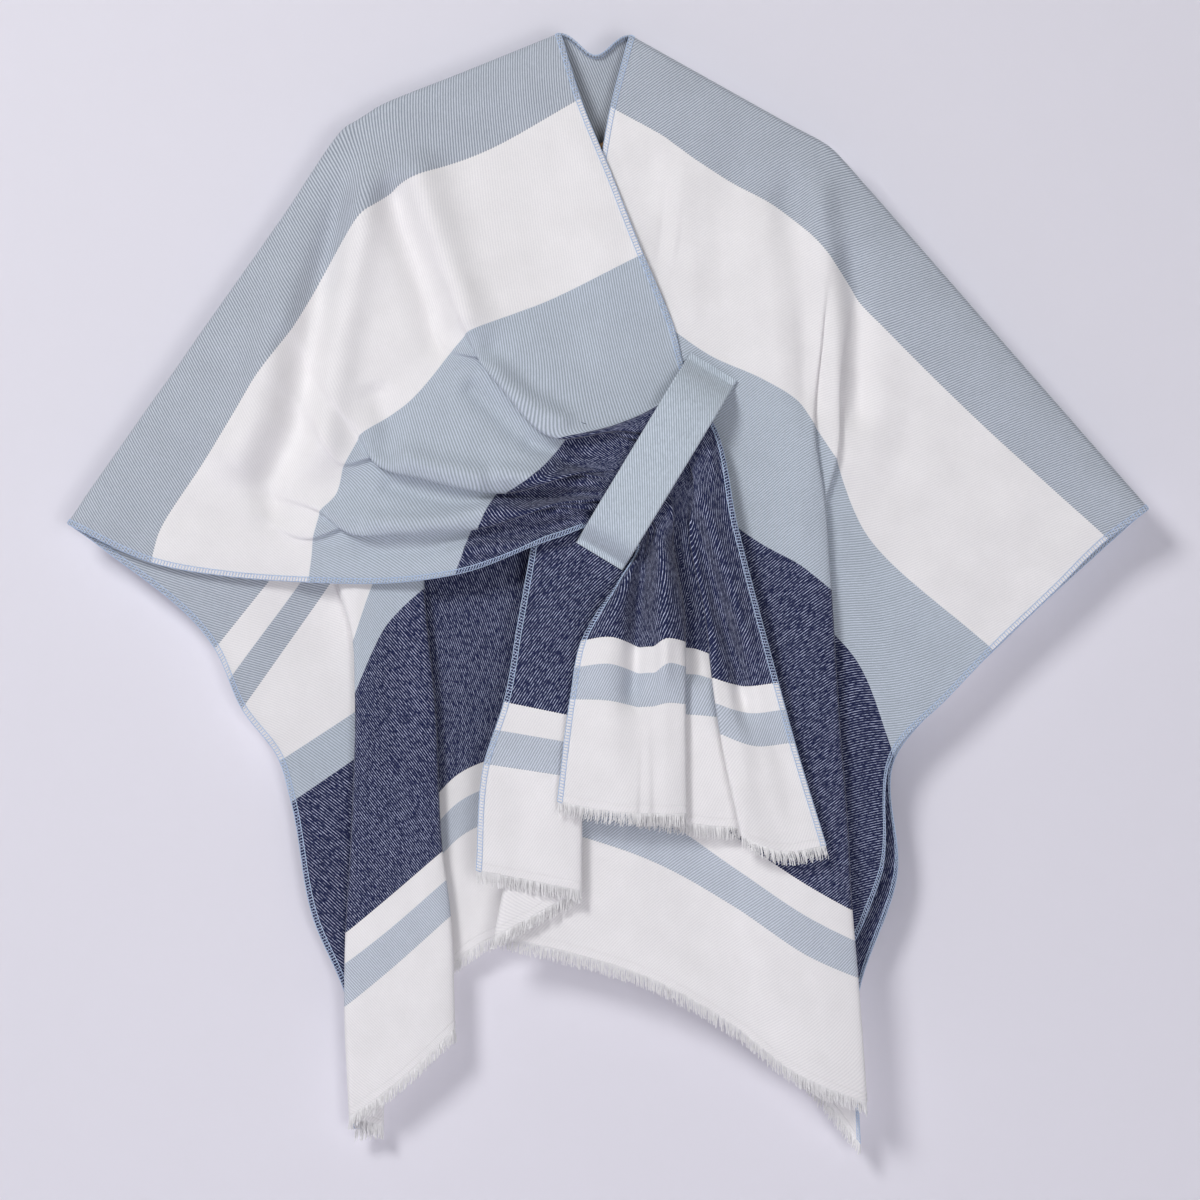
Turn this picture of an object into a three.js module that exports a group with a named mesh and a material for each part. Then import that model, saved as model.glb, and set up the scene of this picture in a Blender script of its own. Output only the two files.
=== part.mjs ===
// A woven poncho wrap on a hidden hanger bar, its right front drawn under a strap on the left front.
// Millimetres, +Z up. The garment faces -Y and the wearer's right is at -X.
// Tables give points as [across, down, out]: across is X, down is measured from the neck corners
// and out is the height towards the viewer, so Y is -out. The origin is the middle of the hanger bar.
import * as THREE from "three";
import { mergeVertices } from "three/addons/utils/BufferGeometryUtils.js";

const BAR_DROP = 100;        // from the neck corners down to the middle of the bar
const WALL = 1.6;            // cloth, with its brushed nap
const SEAM = 0.3;            // gap where pieces meet
const BAR_RADIUS = 5;
const ROLL = BAR_RADIUS + SEAM + WALL / 2;   // middle of the cloth around the bar
const HEM = 749;             // shoulder fold to the hem, where the fringe starts
const STRIP = 4;             // width of the strip that holds the fringe's roots
const FRINGE = 12;
const TIP_INSET = 0.25;      // a lock's tip is this share of its root in from each side
const TURN = 2.4;            // half the space that a folded-over layer takes
const FOLD_DROP = 4;         // a fold is full from this drop between its two turns
const FOLD_OVERLAP = 10;     // and from this distance between them

// The right front, from the slit edge to the side edge. In a row, a fold is two points: the first and
// the second turn of the cloth as it is walked from the slit. Where their heights are the same, the
// cloth isn't folded over there. cut gives the distance from the shoulder fold at the slit and the side.
const RIGHT_FRONT = {
  columns: ["slit", "lap", "roll1", "mid1", "roll2", "mid2", "roll3", "mid3", "side"],
  rows: [
    { cut: [15, -5], slit: [-34.7, 0, 0], lap: [-118, 33.7, 0],
      roll1: [-190, 62.7, 0, -222, 83, 0], mid1: [-273.5, 157.8, 0],
      roll2: [-312.6, 213.3, 0, -347, 262, 0], mid2: [-367, 291, 0],
      roll3: [-388, 320, 0, -428, 377, 0], mid3: [-442, 397, 0], side: [-460, 424, 0] },
    { cut: [75, 75], slit: [-17, 58, 12], lap: [-96, 102, 12],
      roll1: [-170, 131, 17, -205, 158, 17], mid1: [-238, 208, 9],
      roll2: [-265, 255, 12.5, -297, 299, 11], mid2: [-314, 327, 9],
      roll3: [-332, 356, 7.5, -370, 412, 6.5], mid3: [-381, 432, 5], side: [-388, 457, 4] },
    { cut: [141, 141], slit: [10, 125, 14], lap: [-72, 166, 13],
      roll1: [-140, 193, 14, -160, 216, 13.2], mid1: [-202, 262, 12],
      roll2: [-236, 306, 9.4, -254, 336, 7.9], mid2: [-272, 362, 6],
      roll3: [-289, 393, 5, -303, 422, 4], mid3: [-316, 446, 3], side: [-322, 469, 2] },
    { cut: [208, 208], slit: [36, 191, 17], lap: [-45, 231, 15],
      roll1: [-114, 258, 18, -130, 277, 16], mid1: [-166, 319, 12],
      roll2: [-207, 346, 9.8, -223, 375, 7.4], mid2: [-229, 398, 4],
      roll3: [-243, 412, 3.2, -250, 438, 0.4], mid3: [-251, 452, -2], side: [-254, 474, -2] },
    { cut: [235, 238], slit: [46, 214, 16], lap: [-32, 254, 16.5],
      roll1: [-103, 284, 22, -101, 281, 17], mid1: [-146, 331, 14],
      roll2: [-194, 371, 13, -192, 364, 8.5], mid2: [-205, 402, 6],
      roll3: [-218, 431, 5.5, -220, 424, 1.5], mid3: [-225, 452, -1], side: [-228, 475, -1] },
    { cut: [280, 290], slit: [62, 252, 14], lap: [-10, 292, 19],
      roll1: [-84, 307, 25, -62, 285, 19], mid1: [-112, 350, 17],
      roll2: [-150, 385, 17, -141, 353, 11], mid2: [-165, 408, 9],
      roll3: [-172, 432, 9, -172, 402, 3], mid3: [-182, 452, 1], side: [-186, 475, 1] },
    { cut: [335, 350], slit: [76, 299, 13.5], lap: [20, 336, 24],
      roll1: [-43, 349, 32, -24, 332, 26], mid1: [-56, 378, 24],
      roll2: [-82, 397, 22, -76, 374, 16], mid2: [-96, 411, 15],
      roll3: [-102, 427, 15, -100, 407, 9], mid3: [-112, 446, 10], side: [-118, 466, 10] },
    { cut: [345, 420], slit: [82, 309, 14], lap: [54, 326, 26],
      roll1: [24, 345, 31, 20, 350, 26], mid1: [4, 366, 24],
      roll2: [-8, 380, 27, -11, 384, 22], mid2: [-18, 396, 21],
      roll3: [-24, 406, 24, -27, 411, 19], mid3: [-33, 422, 17], side: [-37, 436, 16] },
    { cut: [356, 490], slit: [88, 322, 16], lap: [76, 337, 29],
      roll1: [63, 354, 31, 59, 359, 26], mid1: [50, 372, 24],
      roll2: [43, 382, 25, 33, 396, 26], mid2: [28, 402, 26],
      roll3: [23, 408, 26, 15, 417, 22], mid3: [11, 421, 19.5], side: [7, 425, 16.5] },
    { cut: [372, 520], slit: [97, 338, 20], lap: [88, 357, 31],
      roll1: [77, 374, 32, 78, 374, 26.5], mid1: [69, 390, 24],
      roll2: [60, 402, 25, 58, 406, 30], mid2: [53, 415, 31],
      roll3: [47, 424, 29, 41, 432, 27], mid3: [35, 438, 21], side: [31, 442, 15.5] },
    { cut: [434, 548], slit: [117, 425, 30], lap: [98, 430, 33],
      roll1: [78, 436, 34, 92, 432, 27.5], mid1: [72, 444, 24],
      roll2: [50, 447, 26, 62, 447, 32], mid2: [51, 455, 35],
      roll3: [41, 458, 29, 35, 461, 29], mid3: [24, 470, 29], side: [15, 476, 21] },
    { cut: [531, 572], slit: [136, 500, 32], lap: [113, 501, 33.5],
      roll1: [91, 502, 34, 108, 498, 27.5], mid1: [82, 502, 23],
      roll2: [46, 500, 25, 71, 499, 31], mid2: [54, 500, 36],
      roll3: [38, 504, 30, 30, 504, 30], mid3: [15, 501, 35], side: [-3, 502, 31] },
    { cut: [593, 593], slit: [152, 560, 33], lap: [121, 563, 34],
      roll1: [97, 556, 34.5, 120, 548, 27.5], mid1: [84, 532, 23],
      roll2: [42, 530, 24, 72, 525, 30], mid2: [57, 522, 36],
      roll3: [46, 529, 32, 34, 530, 32], mid3: [10, 521, 36], side: [-15, 524, 32] },
    { cut: [649, 649], slit: [166, 611, 33], lap: [132, 614, 34.5],
      roll1: [104, 604, 34.5, 132, 594, 27.5], mid1: [87, 588, 23],
      roll2: [36, 586, 24, 72, 578, 30], mid2: [58, 577, 36],
      roll3: [46, 580, 34, 32, 581, 34], mid3: [8, 575, 37], side: [-25, 574, 33] },
    { cut: [749, 749], slit: [193, 700, 33], lap: [156, 705, 34],
      roll1: [122, 692, 34, 152, 684, 27], mid1: [98, 684, 22],
      roll2: [34, 674, 23, 73, 672, 29], mid2: [58, 673, 35],
      roll3: [46, 672, 35, 30, 672, 36], mid3: [0, 669, 36], side: [-36, 662, 33] },
  ],
};

// The left front, from the slit edge to the side edge. box is the pleat beside the slit, and column
// the deep fold that hangs below the hanger's end.
const LEFT_FRONT = {
  columns: ["slit", "box", "front1", "front2", "crest", "column", "wing", "side"],
  rows: [
    { cut: [12, 32], slit: [26, 1.7, 0], box: [70, 26.4, 0, 100, 43.2, 0],
      front1: [130, 60, 0], front2: [165, 79.6, 0], crest: [198, 98, 0],
      column: [212, 112, 0, 250, 155, 0], wing: [355, 275, 0], side: [474, 411, 0] },
    { cut: [75, 75], slit: [9.5, 65, 10], box: [54.6, 90, 10, 82, 110, 10],
      front1: [112, 129, 10], front2: [150, 150, 13], crest: [180, 173, 17],
      column: [196, 191, 11, 224, 232, 10], wing: [315, 324, 5], side: [439, 437, 3] },
    { cut: [141, 141], slit: [-2, 131, 10], box: [48, 167, 10, 70, 182, 9],
      front1: [98, 201, 10], front2: [142, 227, 13], crest: [172, 248, 19],
      column: [190, 267, 14.5, 208, 296, 11.2], wing: [270, 378, 5], side: [393, 482, 2] },
    { cut: [208, 208], slit: [-14, 198, 9], box: [36, 236, 9, 58, 252, 9],
      front1: [94, 277, 9], front2: [140, 298, 12], crest: [171, 318, 19],
      column: [184, 337, 15.5, 204, 367, 11], wing: [232, 434, 3], side: [341, 532, 1] },
    { cut: [270, 270], slit: [-25, 258, 8.5], box: [30, 295, 8.5, 54, 312, 8.5],
      front1: [91, 335, 9], front2: [139, 363, 12], crest: [171, 384, 19],
      column: [193, 407, 15, 191, 414, 10], wing: [226, 484, 3], side: [300, 575, 0] },
    { cut: [341, 341], slit: [-37.5, 327, 8], box: [22, 364, 8, 50, 381, 8],
      front1: [86, 402, 9], front2: [138, 438, 12], crest: [172, 457, 19],
      column: [198, 478, 13, 176, 492, 6], wing: [222, 540, 3], side: [255, 621, -2] },
    { cut: [467, 467], slit: [-60, 452, 10], box: [-4, 472, 9, 16, 486, 9],
      front1: [66, 508, 9], front2: [130, 558, 12], crest: [174, 588, 19],
      column: [206, 606, 13, 180, 628, 6], wing: [218, 690, 2], side: [243, 729, -2] },
    { cut: [530, 530], slit: [-71, 514, 13.5], box: [-6, 534, 14, -4, 536, 9],
      front1: [56, 572, 9], front2: [125, 626, 12], crest: [175, 660, 19],
      column: [212, 681, 13, 183, 702, 6], wing: [209, 741, 1.5], side: [228, 769, -2] },
    { cut: [593, 593], slit: [-82, 577, 17], box: [-18, 590, 17, -52, 610, 10],
      front1: [44, 640, 9], front2: [118, 694, 12], crest: [176, 733, 19],
      column: [216, 756, 13, 186, 776, 6], wing: [198, 792, 1], side: [212, 808, -2] },
    { cut: [649, 649], slit: [-99, 630, 18], box: [-17, 642, 18, -69, 678, 11],
      front1: [40, 712, 9], front2: [117, 754, 12], crest: [177, 794, 19],
      column: [221, 814, 13, 190, 832, 6], wing: [201, 842, 1], side: [213, 850, -2] },
    { cut: [749, 749], slit: [-106, 722, 18], box: [-17, 739, 18, -90, 779, 11],
      front1: [34, 812, 9], front2: [110, 852, 12], crest: [170, 897, 18],
      column: [229, 922, 12, 196, 906, 5], wing: [203, 900, 0], side: [215, 898, -3] },
  ],
};

// The back, from the wearer's right side edge to the left one. Its inside shows. outer and inner are
// the two folds of the column that hangs below the hanger's right end.
const BACK = {
  columns: ["side", "outer", "face", "inner", "neck1", "middle", "neck2", "turn", "wave1", "wave2", "far"],
  rows: [
    { cut: [0, 0], side: [-460, 424, 0], outer: [-347, 262, 0, -273, 158, 0],
      face: [-213, 75, 0], inner: [-170, 54.6, 0, -118, 33.7, 0], neck1: [-34.7, 0, 0],
      middle: [-4, 19, 0], neck2: [26, 1.7, 0],
      turn: [130, 60, 0], wave1: [198, 98, 0], wave2: [300, 212, 0], far: [474, 411, 0] },
    { cut: [80, 80], side: [-428, 447, -4], outer: [-312, 318, -8, -254, 232, -8],
      face: [-208, 150, -15], inner: [-170, 135, -18, -112, 112, -16], neck1: [-40, 88, -14],
      middle: [0, 86, -13], neck2: [40, 92, -14],
      turn: [122, 140, -17], wave1: [205, 190, -20], wave2: [322, 322, -10], far: [437, 444, -5] },
    { cut: [150, 150], side: [-334, 532, -10], outer: [-252, 424, -13, -236, 370, -13],
      face: [-198, 265, -13], inner: [-163, 250, -18, -124, 215, -18], neck1: [-62, 186, -19],
      middle: [-4, 168, -20], neck2: [52, 176, -20],
      turn: [116, 208, -20], wave1: [198, 258, -26], wave2: [282, 392, -14], far: [390, 487, -8] },
    { cut: [209, 209], side: [-311, 584, -12], outer: [-232, 470, -19, -230, 462, -14],
      face: [-194, 362, -11], inner: [-162, 338, -17, -146, 312, -18.5], neck1: [-74, 256, -22],
      middle: [-10, 230, -21], neck2: [50, 238, -20],
      turn: [112, 268, -21], wave1: [194, 330, -29], wave2: [256, 450, -15], far: [340, 535, -10] },
    { cut: [289, 289], side: [-279, 629, -17], outer: [-192, 572, -24, -214, 524, -14],
      face: [-188, 456, -9], inner: [-156, 430, -14, -157, 424, -19], neck1: [-100, 344, -23],
      middle: [-28, 316, -21], neck2: [40, 322, -20],
      turn: [105, 348, -21], wave1: [192, 415, -31], wave2: [240, 520, -15], far: [292, 582, -11] },
    { cut: [341, 341], side: [-269, 664, -18], outer: [-190, 610, -24, -212, 568, -14],
      face: [-186, 510, -8], inner: [-154, 478, -13, -166, 456, -19], neck1: [-112, 396, -23],
      middle: [-40, 370, -21], neck2: [34, 375, -19],
      turn: [100, 400, -21], wave1: [192, 470, -31], wave2: [236, 565, -15], far: [257, 625, -12] },
    { cut: [467, 467], side: [-251, 762, -20], outer: [-188, 728, -25, -215, 690, -14],
      face: [-182, 624, -7], inner: [-144, 584, -12, -164, 560, -19], neck1: [-118, 516, -23],
      middle: [-54, 496, -20], neck2: [20, 500, -18],
      turn: [90, 522, -20], wave1: [186, 600, -30], wave2: [228, 680, -17], far: [258, 728, -12] },
    { cut: [593, 593], side: [-218, 850, -23], outer: [-190, 818, -25, -220, 778, -14],
      face: [-182, 746, -7], inner: [-138, 708, -12, -161, 684, -19], neck1: [-122, 640, -23],
      middle: [-62, 622, -20], neck2: [10, 624, -18],
      turn: [80, 648, -20], wave1: [172, 722, -30], wave2: [214, 790, -18], far: [224, 838, -13] },
    { cut: [649, 649], side: [-216, 888, -23], outer: [-190, 870, -25, -221, 842, -14],
      face: [-180, 808, -7], inner: [-131, 764, -12, -158, 738, -19], neck1: [-120, 694, -23],
      middle: [-62, 674, -20], neck2: [8, 678, -18],
      turn: [78, 704, -20], wave1: [166, 780, -29], wave2: [210, 842, -18], far: [223, 886, -13] },
    { cut: [749, 749], side: [-214, 950, -23], outer: [-190, 948, -25, -217, 938, -14],
      face: [-176, 908, -7], inner: [-127, 862, -12, -155, 838, -19], neck1: [-116, 796, -23],
      middle: [-60, 773, -20], neck2: [4, 776, -18],
      turn: [76, 808, -20], wave1: [158, 884, -27], wave2: [204, 934, -18], far: [226, 962, -13] },
  ],
};

// The strap: its ends, and how far it lifts off the left front on its way, [along, lift].
const STRAP = {
  start: [98, 289],
  end: [-0.5, 452.5],
  width: 47,
  thick: 2 * WALL,
  steps: 44,
  shares: [-0.5, -0.17, 0.17, 0.5],   // of the width, where its points lie across
  lift: [[0, 0], [6, 0], [12, 7], [20, 17], [34, 25], [60, 28], [95, 28], [130, 28], [158, 27],
    [170, 22], [178, 12], [186, 0], [191, 0]],
};

// The middle of the hanger bar, from one arm's end to the other. The arms lie under the fold.
const HANGER = {
  steps: 32,
  quarter: 6,      // facets in a quarter of the section
  points: [[-189, 70, 0], [-150, 54, 0], [-100, 33.9, 0], [-68, 25, 0], [-47, 44, 0], [-26, 82, 0],
    [0, BAR_DROP, 0], [24, 84, 0], [38, 54, 0], [60, 33, 0], [100, 51, 0], [140, 73.4, 0],
    [180.2, 96, 0]],
};

const COLOURS = {
  light: 0xaebcc6, navy: 0x3a4068, white: 0xe4e2e2, blue: 0xa9b8bf, wood: 0xb99a72,
};

function material(colour, roughness = 0.95) {
  return new THREE.MeshStandardMaterial({ color: colour, roughness, metalness: 0 });
}

function place([across, down, out]) {
  return new THREE.Vector3(across, -out, BAR_DROP - down);
}

function mix(a, b, share) {
  return a.map((value, i) => value + (b[i] - value) * share);
}

// The control points of one row, [across, down, out, cut]. A fold gives four.
function controls(table, row) {
  const points = [];
  const last = table.columns.length - 1;
  table.columns.forEach((name, place_in_row) => {
    const cut = row.cut[0] + (row.cut[1] - row.cut[0]) * place_in_row / last;
    const entry = row[name];
    if (entry.length === 3) {
      points.push([...entry, cut]);
      return;
    }
    const first = [...entry.slice(0, 3), cut];
    const second = [...entry.slice(3), cut];
    const drop = first[2] - second[2];
    const overlap = Math.hypot(first[0] - second[0], first[1] - second[1]);
    const folded = Math.min(1, Math.abs(drop) / FOLD_DROP) * Math.min(1, overlap / FOLD_OVERLAP);
    const lift = TURN * folded * Math.sign(drop);
    const inner1 = mix(first, second, (1 - folded) / 3);
    const inner2 = mix(second, first, (1 - folded) / 3);
    first[2] += lift;
    inner1[2] -= lift;
    inner2[2] += lift;
    second[2] -= lift;
    points.push(first, inner1, inner2, second);
  });
  return points;
}

// A smooth curve through points at the given stations, with the tangent of a fitted parabola at each.
function through(points, stations, at) {
  let i = 0;
  while (i < stations.length - 2 && at > stations[i + 1]) i += 1;
  const slope = (a, b) => points[a].map((value, k) => (points[b][k] - value) / (stations[b] - stations[a]));
  const here = slope(i, i + 1);
  const tangent = (before, after, width0, width1) =>
    before.map((value, k) => (value * width1 + after[k] * width0) / (width0 + width1));
  const width = stations[i + 1] - stations[i];
  const start = i > 0 ? tangent(slope(i - 1, i), here, stations[i] - stations[i - 1], width) : here;
  const stop = i + 2 < stations.length
    ? tangent(here, slope(i + 1, i + 2), width, stations[i + 2] - stations[i + 1]) : here;
  const t = (at - stations[i]) / width;
  const h = [2 * t ** 3 - 3 * t ** 2 + 1, t ** 3 - 2 * t ** 2 + t, 3 * t ** 2 - 2 * t ** 3, t ** 3 - t ** 2];
  return points[i].map((value, k) =>
    h[0] * value + h[1] * width * start[k] + h[2] * points[i + 1][k] + h[3] * width * stop[k]);
}

// The rows of a panel with the two that roll over the bar put in after the shoulder fold. facing is 1
// for a front and -1 for the back.
function rolled(table, facing) {
  const rows = table.rows.map((row) => controls(table, row));
  const [fold, next] = rows;
  const over = (drop, out, run) => fold.map((point, i) => {
    const toNext = [next[i][0] - point[0], next[i][1] - point[1]];
    const length = Math.hypot(...toNext);
    const step = drop / length;
    return [point[0] + toNext[0] * step, point[1] + toNext[1] * step, out * facing, point[3] + run];
  });
  const quarter = ROLL * Math.PI / 2;
  const edge = over(0, SEAM / 2, 0);
  const eighth = over(ROLL * (1 - Math.SQRT1_2), ROLL * Math.SQRT1_2, quarter / 2);
  const side = over(ROLL, ROLL, quarter);
  return [edge, eighth, side, ...rows.slice(1)];
}

// Numbers of steps between control points: folds turn in two steps, and the rest by length.
function stepsAcross(row, pitch) {
  const steps = [];
  for (let i = 1; i < row.length; i += 1) {
    const flat = Math.hypot(row[i][0] - row[i - 1][0], row[i][1] - row[i - 1][1]);
    steps.push(Math.max(2, Math.round(flat / pitch)));
  }
  return steps;
}

// Spreads points between the control points of a row.
function across(row, steps) {
  const stations = [0];
  for (let i = 1; i < row.length; i += 1) {
    const apart = Math.hypot(...[0, 1, 2].map((k) => row[i][k] - row[i - 1][k]));
    stations.push(stations[i - 1] + Math.sqrt(Math.max(apart, 1)));
  }
  const points = [];
  for (let i = 0; i < row.length - 1; i += 1) {
    for (let s = 0; s < steps[i]; s += 1) {
      points.push(through(row, stations, stations[i] + (stations[i + 1] - stations[i]) * s / steps[i]));
    }
  }
  points.push(row[row.length - 1]);
  return points;
}

// The panel's middle surface: rows of points, [across, down, out, cut], with the given steps between
// the rows of the table.
function sheet(rows, downSteps, acrossSteps) {
  const lines = rows[0].map((first, c) => {
    const line = rows.map((row) => row[c]);
    const stations = [0];
    for (let r = 1; r < line.length; r += 1) {
      const apart = Math.hypot(...[0, 1, 2].map((k) => line[r][k] - line[r - 1][k]));
      stations.push(stations[r - 1] + Math.max(apart, 1));
    }
    return { line, stations };
  });
  const grid = [];
  downSteps.forEach((count, r) => {
    for (let s = 0; s < count; s += 1) {
      grid.push(lines.map(({ line, stations }) =>
        through(line, stations, stations[r] + (stations[r + 1] - stations[r]) * s / count)));
    }
  });
  grid.push(rows[rows.length - 1]);
  return grid.map((row) => across(row, acrossSteps));
}

// The row of a panel at a cut near its hem, run on in a straight line from the last two rows.
function hemRow(rows, cut) {
  const last = rows[rows.length - 1];
  const before = rows[rows.length - 2];
  return last.map((point, i) => mix(before[i], point, (cut - before[i][3]) / (point[3] - before[i][3])));
}

// Normals of a grid of points, towards the viewer on a front panel. below is the row that follows the
// last one, whose slope the last row takes, and above the one before the first.
function normals(grid, below, above) {
  const columns = grid[0].length;
  return grid.map((row, r) => row.map((point, c) => {
    const last = r === grid.length - 1;
    const left = place(row[Math.max(c - 1, 0)]);
    const right = place(row[Math.min(c + 1, columns - 1)]);
    const up = place(last ? point : (r > 0 ? grid[r - 1] : above)[c]);
    const down = place(last ? below[c] : grid[r + 1][c]);
    return right.sub(left).cross(down.sub(up)).normalize();
  }));
}

// A closed wall around a grid. below is the row that would follow the last one. Where locks is given,
// the wall's last edge grows a lock of the fringe at each of those columns, to the points of below.
function wall(grid, thick, below, locks = [], above = grid[0]) {
  const rows = grid.length;
  const columns = grid[0].length;
  const normal = normals(grid, below, above);
  const vertices = [];
  const faces = [];
  const side = [1, -1].map((sign) => grid.map((row, r) => row.map((point, c) => {
    vertices.push(place(point).addScaledVector(normal[r][c], sign * thick / 2));
    return vertices.length - 1;
  })));
  const quad = (a, b, c, d) => faces.push([a, b, c], [a, c, d]);
  const [top, under] = side;
  for (let r = 0; r < rows - 1; r += 1) {
    for (let c = 0; c < columns - 1; c += 1) {
      quad(top[r][c], top[r][c + 1], top[r + 1][c + 1], top[r + 1][c]);
      quad(under[r][c], under[r + 1][c], under[r + 1][c + 1], under[r][c + 1]);
    }
    quad(top[r][0], top[r + 1][0], under[r + 1][0], under[r][0]);
    const e = columns - 1;
    quad(top[r][e], under[r][e], under[r + 1][e], top[r + 1][e]);
  }
  const last = rows - 1;
  for (let c = 0; c < columns - 1; c += 1) {
    quad(top[0][c], under[0][c], under[0][c + 1], top[0][c + 1]);
    const root = [top[last][c], top[last][c + 1], under[last][c + 1], under[last][c]];
    if (!locks.includes(c)) {
      quad(...root);
      continue;
    }
    const tip = root.map((index, k) => {
      const share = k === 0 || k === 3 ? TIP_INSET : 1 - TIP_INSET;
      const point = place(mix(below[c], below[c + 1], share));
      const out = normal[last][c].clone().multiplyScalar((k < 2 ? 1 : -1) * thick * TIP_INSET);
      vertices.push(point.add(out));
      return vertices.length - 1;
    });
    for (let k = 0; k < 4; k += 1) {
      const next = (k + 1) % 4;
      quad(root[k], root[next], tip[next], tip[k]);
    }
    quad(...tip);
  }
  return closed(vertices, faces);
}

// A geometry whose faces look outwards.
function closed(vertices, faces) {
  let volume = 0;
  for (const [a, b, c] of faces) {
    volume += vertices[a].dot(new THREE.Vector3().crossVectors(vertices[b], vertices[c]));
  }
  const geometry = new THREE.BufferGeometry();
  geometry.setAttribute("position", new THREE.Float32BufferAttribute(vertices.flatMap((v) => v.toArray()), 3));
  geometry.setIndex(faces.flatMap(([a, b, c]) => (volume > 0 ? [a, b, c] : [a, c, b])));
  geometry.computeVertexNormals();
  return geometry;
}

const part = new THREE.Group();

function add(name, geometry, colour, roughness) {
  const mesh = new THREE.Mesh(geometry, material(colour, roughness));
  mesh.name = name;
  part.add(mesh);
  return mesh;
}

// Steps between the rows of each table, the two rows that roll over the bar included.
const DOWN_STEPS = {
  right_front: [1, 1, 3, 3, 3, 2, 2, 2, 1, 2, 2, 3, 3, 2, 2, 3],
  left_front: [1, 1, 3, 3, 3, 2, 2, 3, 2, 2, 2, 3],
  back: [1, 1, 3, 3, 2, 3, 2, 4, 3, 2, 3],
};
const PITCH = { right_front: 60, left_front: 30, back: 50 };
const LOCK_PITCH = 5.5;
const LOCK_LEAST = 0.6 * LOCK_PITCH;   // no lock grows on a step narrower than this

function panel(name, table, facing, colour) {
  const rows = rolled(table, facing);
  const cloth = [...rows.slice(0, -1), hemRow(rows, HEM - STRIP)];
  const widest = rows[Math.floor(rows.length / 2)];
  const steps = stepsAcross(widest, PITCH[name]);
  const grid = sheet(cloth, DOWN_STEPS[name], steps);
  const hem = (cut) => across(hemRow(rows, cut), steps);
  const behindFold = grid[1].map(([x, down, out]) => [x, down, -out]);
  add(name, wall(grid, WALL, hem(HEM), [], behindFold), colour);
  fringe(`fringe_${name}`, hem);
  return grid;
}

// The strip at a hem, and the locks of its fringe on every second step. Its edge has the corners of
// the panel's, with more points on the straight lines between them.
function fringe(name, hem) {
  const coarse = hem(HEM);
  const counts = coarse.slice(1).map((point, i) =>
    Math.max(1, Math.round(Math.hypot(point[0] - coarse[i][0], point[1] - coarse[i][1]) / LOCK_PITCH)));
  const finer = (row) => [...counts.flatMap((count, i) =>
    Array.from({ length: count }, (unused, k) => mix(row[i], row[i + 1], k / count))), row[row.length - 1]];
  const [top, root, tips] = [HEM - STRIP + SEAM, HEM, HEM + FRINGE].map((cut) => finer(hem(cut)));
  const locks = [];
  for (let c = 0; c < root.length - 1; c += 1) {
    const wide = Math.hypot(root[c + 1][0] - root[c][0], root[c + 1][1] - root[c][1]);
    if (wide > LOCK_LEAST && locks[locks.length - 1] !== c - 1) locks.push(c);
  }
  add(name, wall([top, root], WALL, tips, locks), COLOURS.white);
}

// The height of a panel's middle surface at a place: that of the highest of its triangles there.
function heightAt(grid, x, down) {
  let height = -Infinity;
  const test = (a, b, c) => {
    const area = (b[0] - a[0]) * (c[1] - a[1]) - (c[0] - a[0]) * (b[1] - a[1]);
    const toB = ((x - a[0]) * (c[1] - a[1]) - (c[0] - a[0]) * (down - a[1])) / area;
    const toC = ((b[0] - a[0]) * (down - a[1]) - (x - a[0]) * (b[1] - a[1])) / area;
    if (toB < 0 || toC < 0 || toB + toC > 1) return;
    height = Math.max(height, a[2] + toB * (b[2] - a[2]) + toC * (c[2] - a[2]));
  };
  for (let r = 0; r < grid.length - 1; r += 1) {
    for (let c = 0; c < grid[r].length - 1; c += 1) {
      test(grid[r][c], grid[r][c + 1], grid[r + 1][c + 1]);
      test(grid[r][c], grid[r + 1][c + 1], grid[r + 1][c]);
    }
  }
  return height;
}

function strap(ground) {
  const [x0, y0] = STRAP.start;
  const run = [STRAP.end[0] - x0, STRAP.end[1] - y0];
  const length = Math.hypot(...run);
  const along = run.map((value) => value / length);
  const seat = WALL / 2 + 2 * SEAM + STRAP.thick / 2;
  const lifts = STRAP.lift.map(([, lift]) => [lift]);
  const stations = STRAP.lift.map(([at]) => at);
  const grid = [];
  for (let step = 0; step <= STRAP.steps + 1; step += 1) {
    const at = length * step / STRAP.steps;
    const [lift] = through(lifts, stations, Math.min(at, stations[stations.length - 1]));
    const row = [];
    for (const share of STRAP.shares) {
      const x = x0 + along[0] * at + along[1] * STRAP.width * share;
      const down = y0 + along[1] * at - along[0] * STRAP.width * share;
      row.push([x, down, heightAt(ground, x, down) + seat + Math.max(lift, 0)]);
    }
    grid.push(row);
  }
  const below = grid.pop();
  add("strap", wall(grid, STRAP.thick, below), COLOURS.blue);
}

function hanger() {
  const curve = new THREE.CatmullRomCurve3(HANGER.points.map(place), false, "centripetal");
  const section = new THREE.Shape();
  section.absarc(0, 0, BAR_RADIUS, 0, 2 * Math.PI);
  const tube = new THREE.ExtrudeGeometry(section, {
    steps: HANGER.steps, curveSegments: HANGER.quarter, extrudePath: curve,
  });
  tube.deleteAttribute("normal");
  tube.deleteAttribute("uv");
  const merged = mergeVertices(tube, 1e-4);
  merged.computeVertexNormals();
  add("hanger", merged, COLOURS.wood, 0.5);
}

const leftGrid = panel("left_front", LEFT_FRONT, 1, COLOURS.light);
panel("right_front", RIGHT_FRONT, 1, COLOURS.light);
panel("back", BACK, -1, COLOURS.navy);
strap(leftGrid);
hanger();

export default part;
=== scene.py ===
"""A striped woven poncho wrap on a hidden hanger bar, one front drawn under a strap on the other."""

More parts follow.
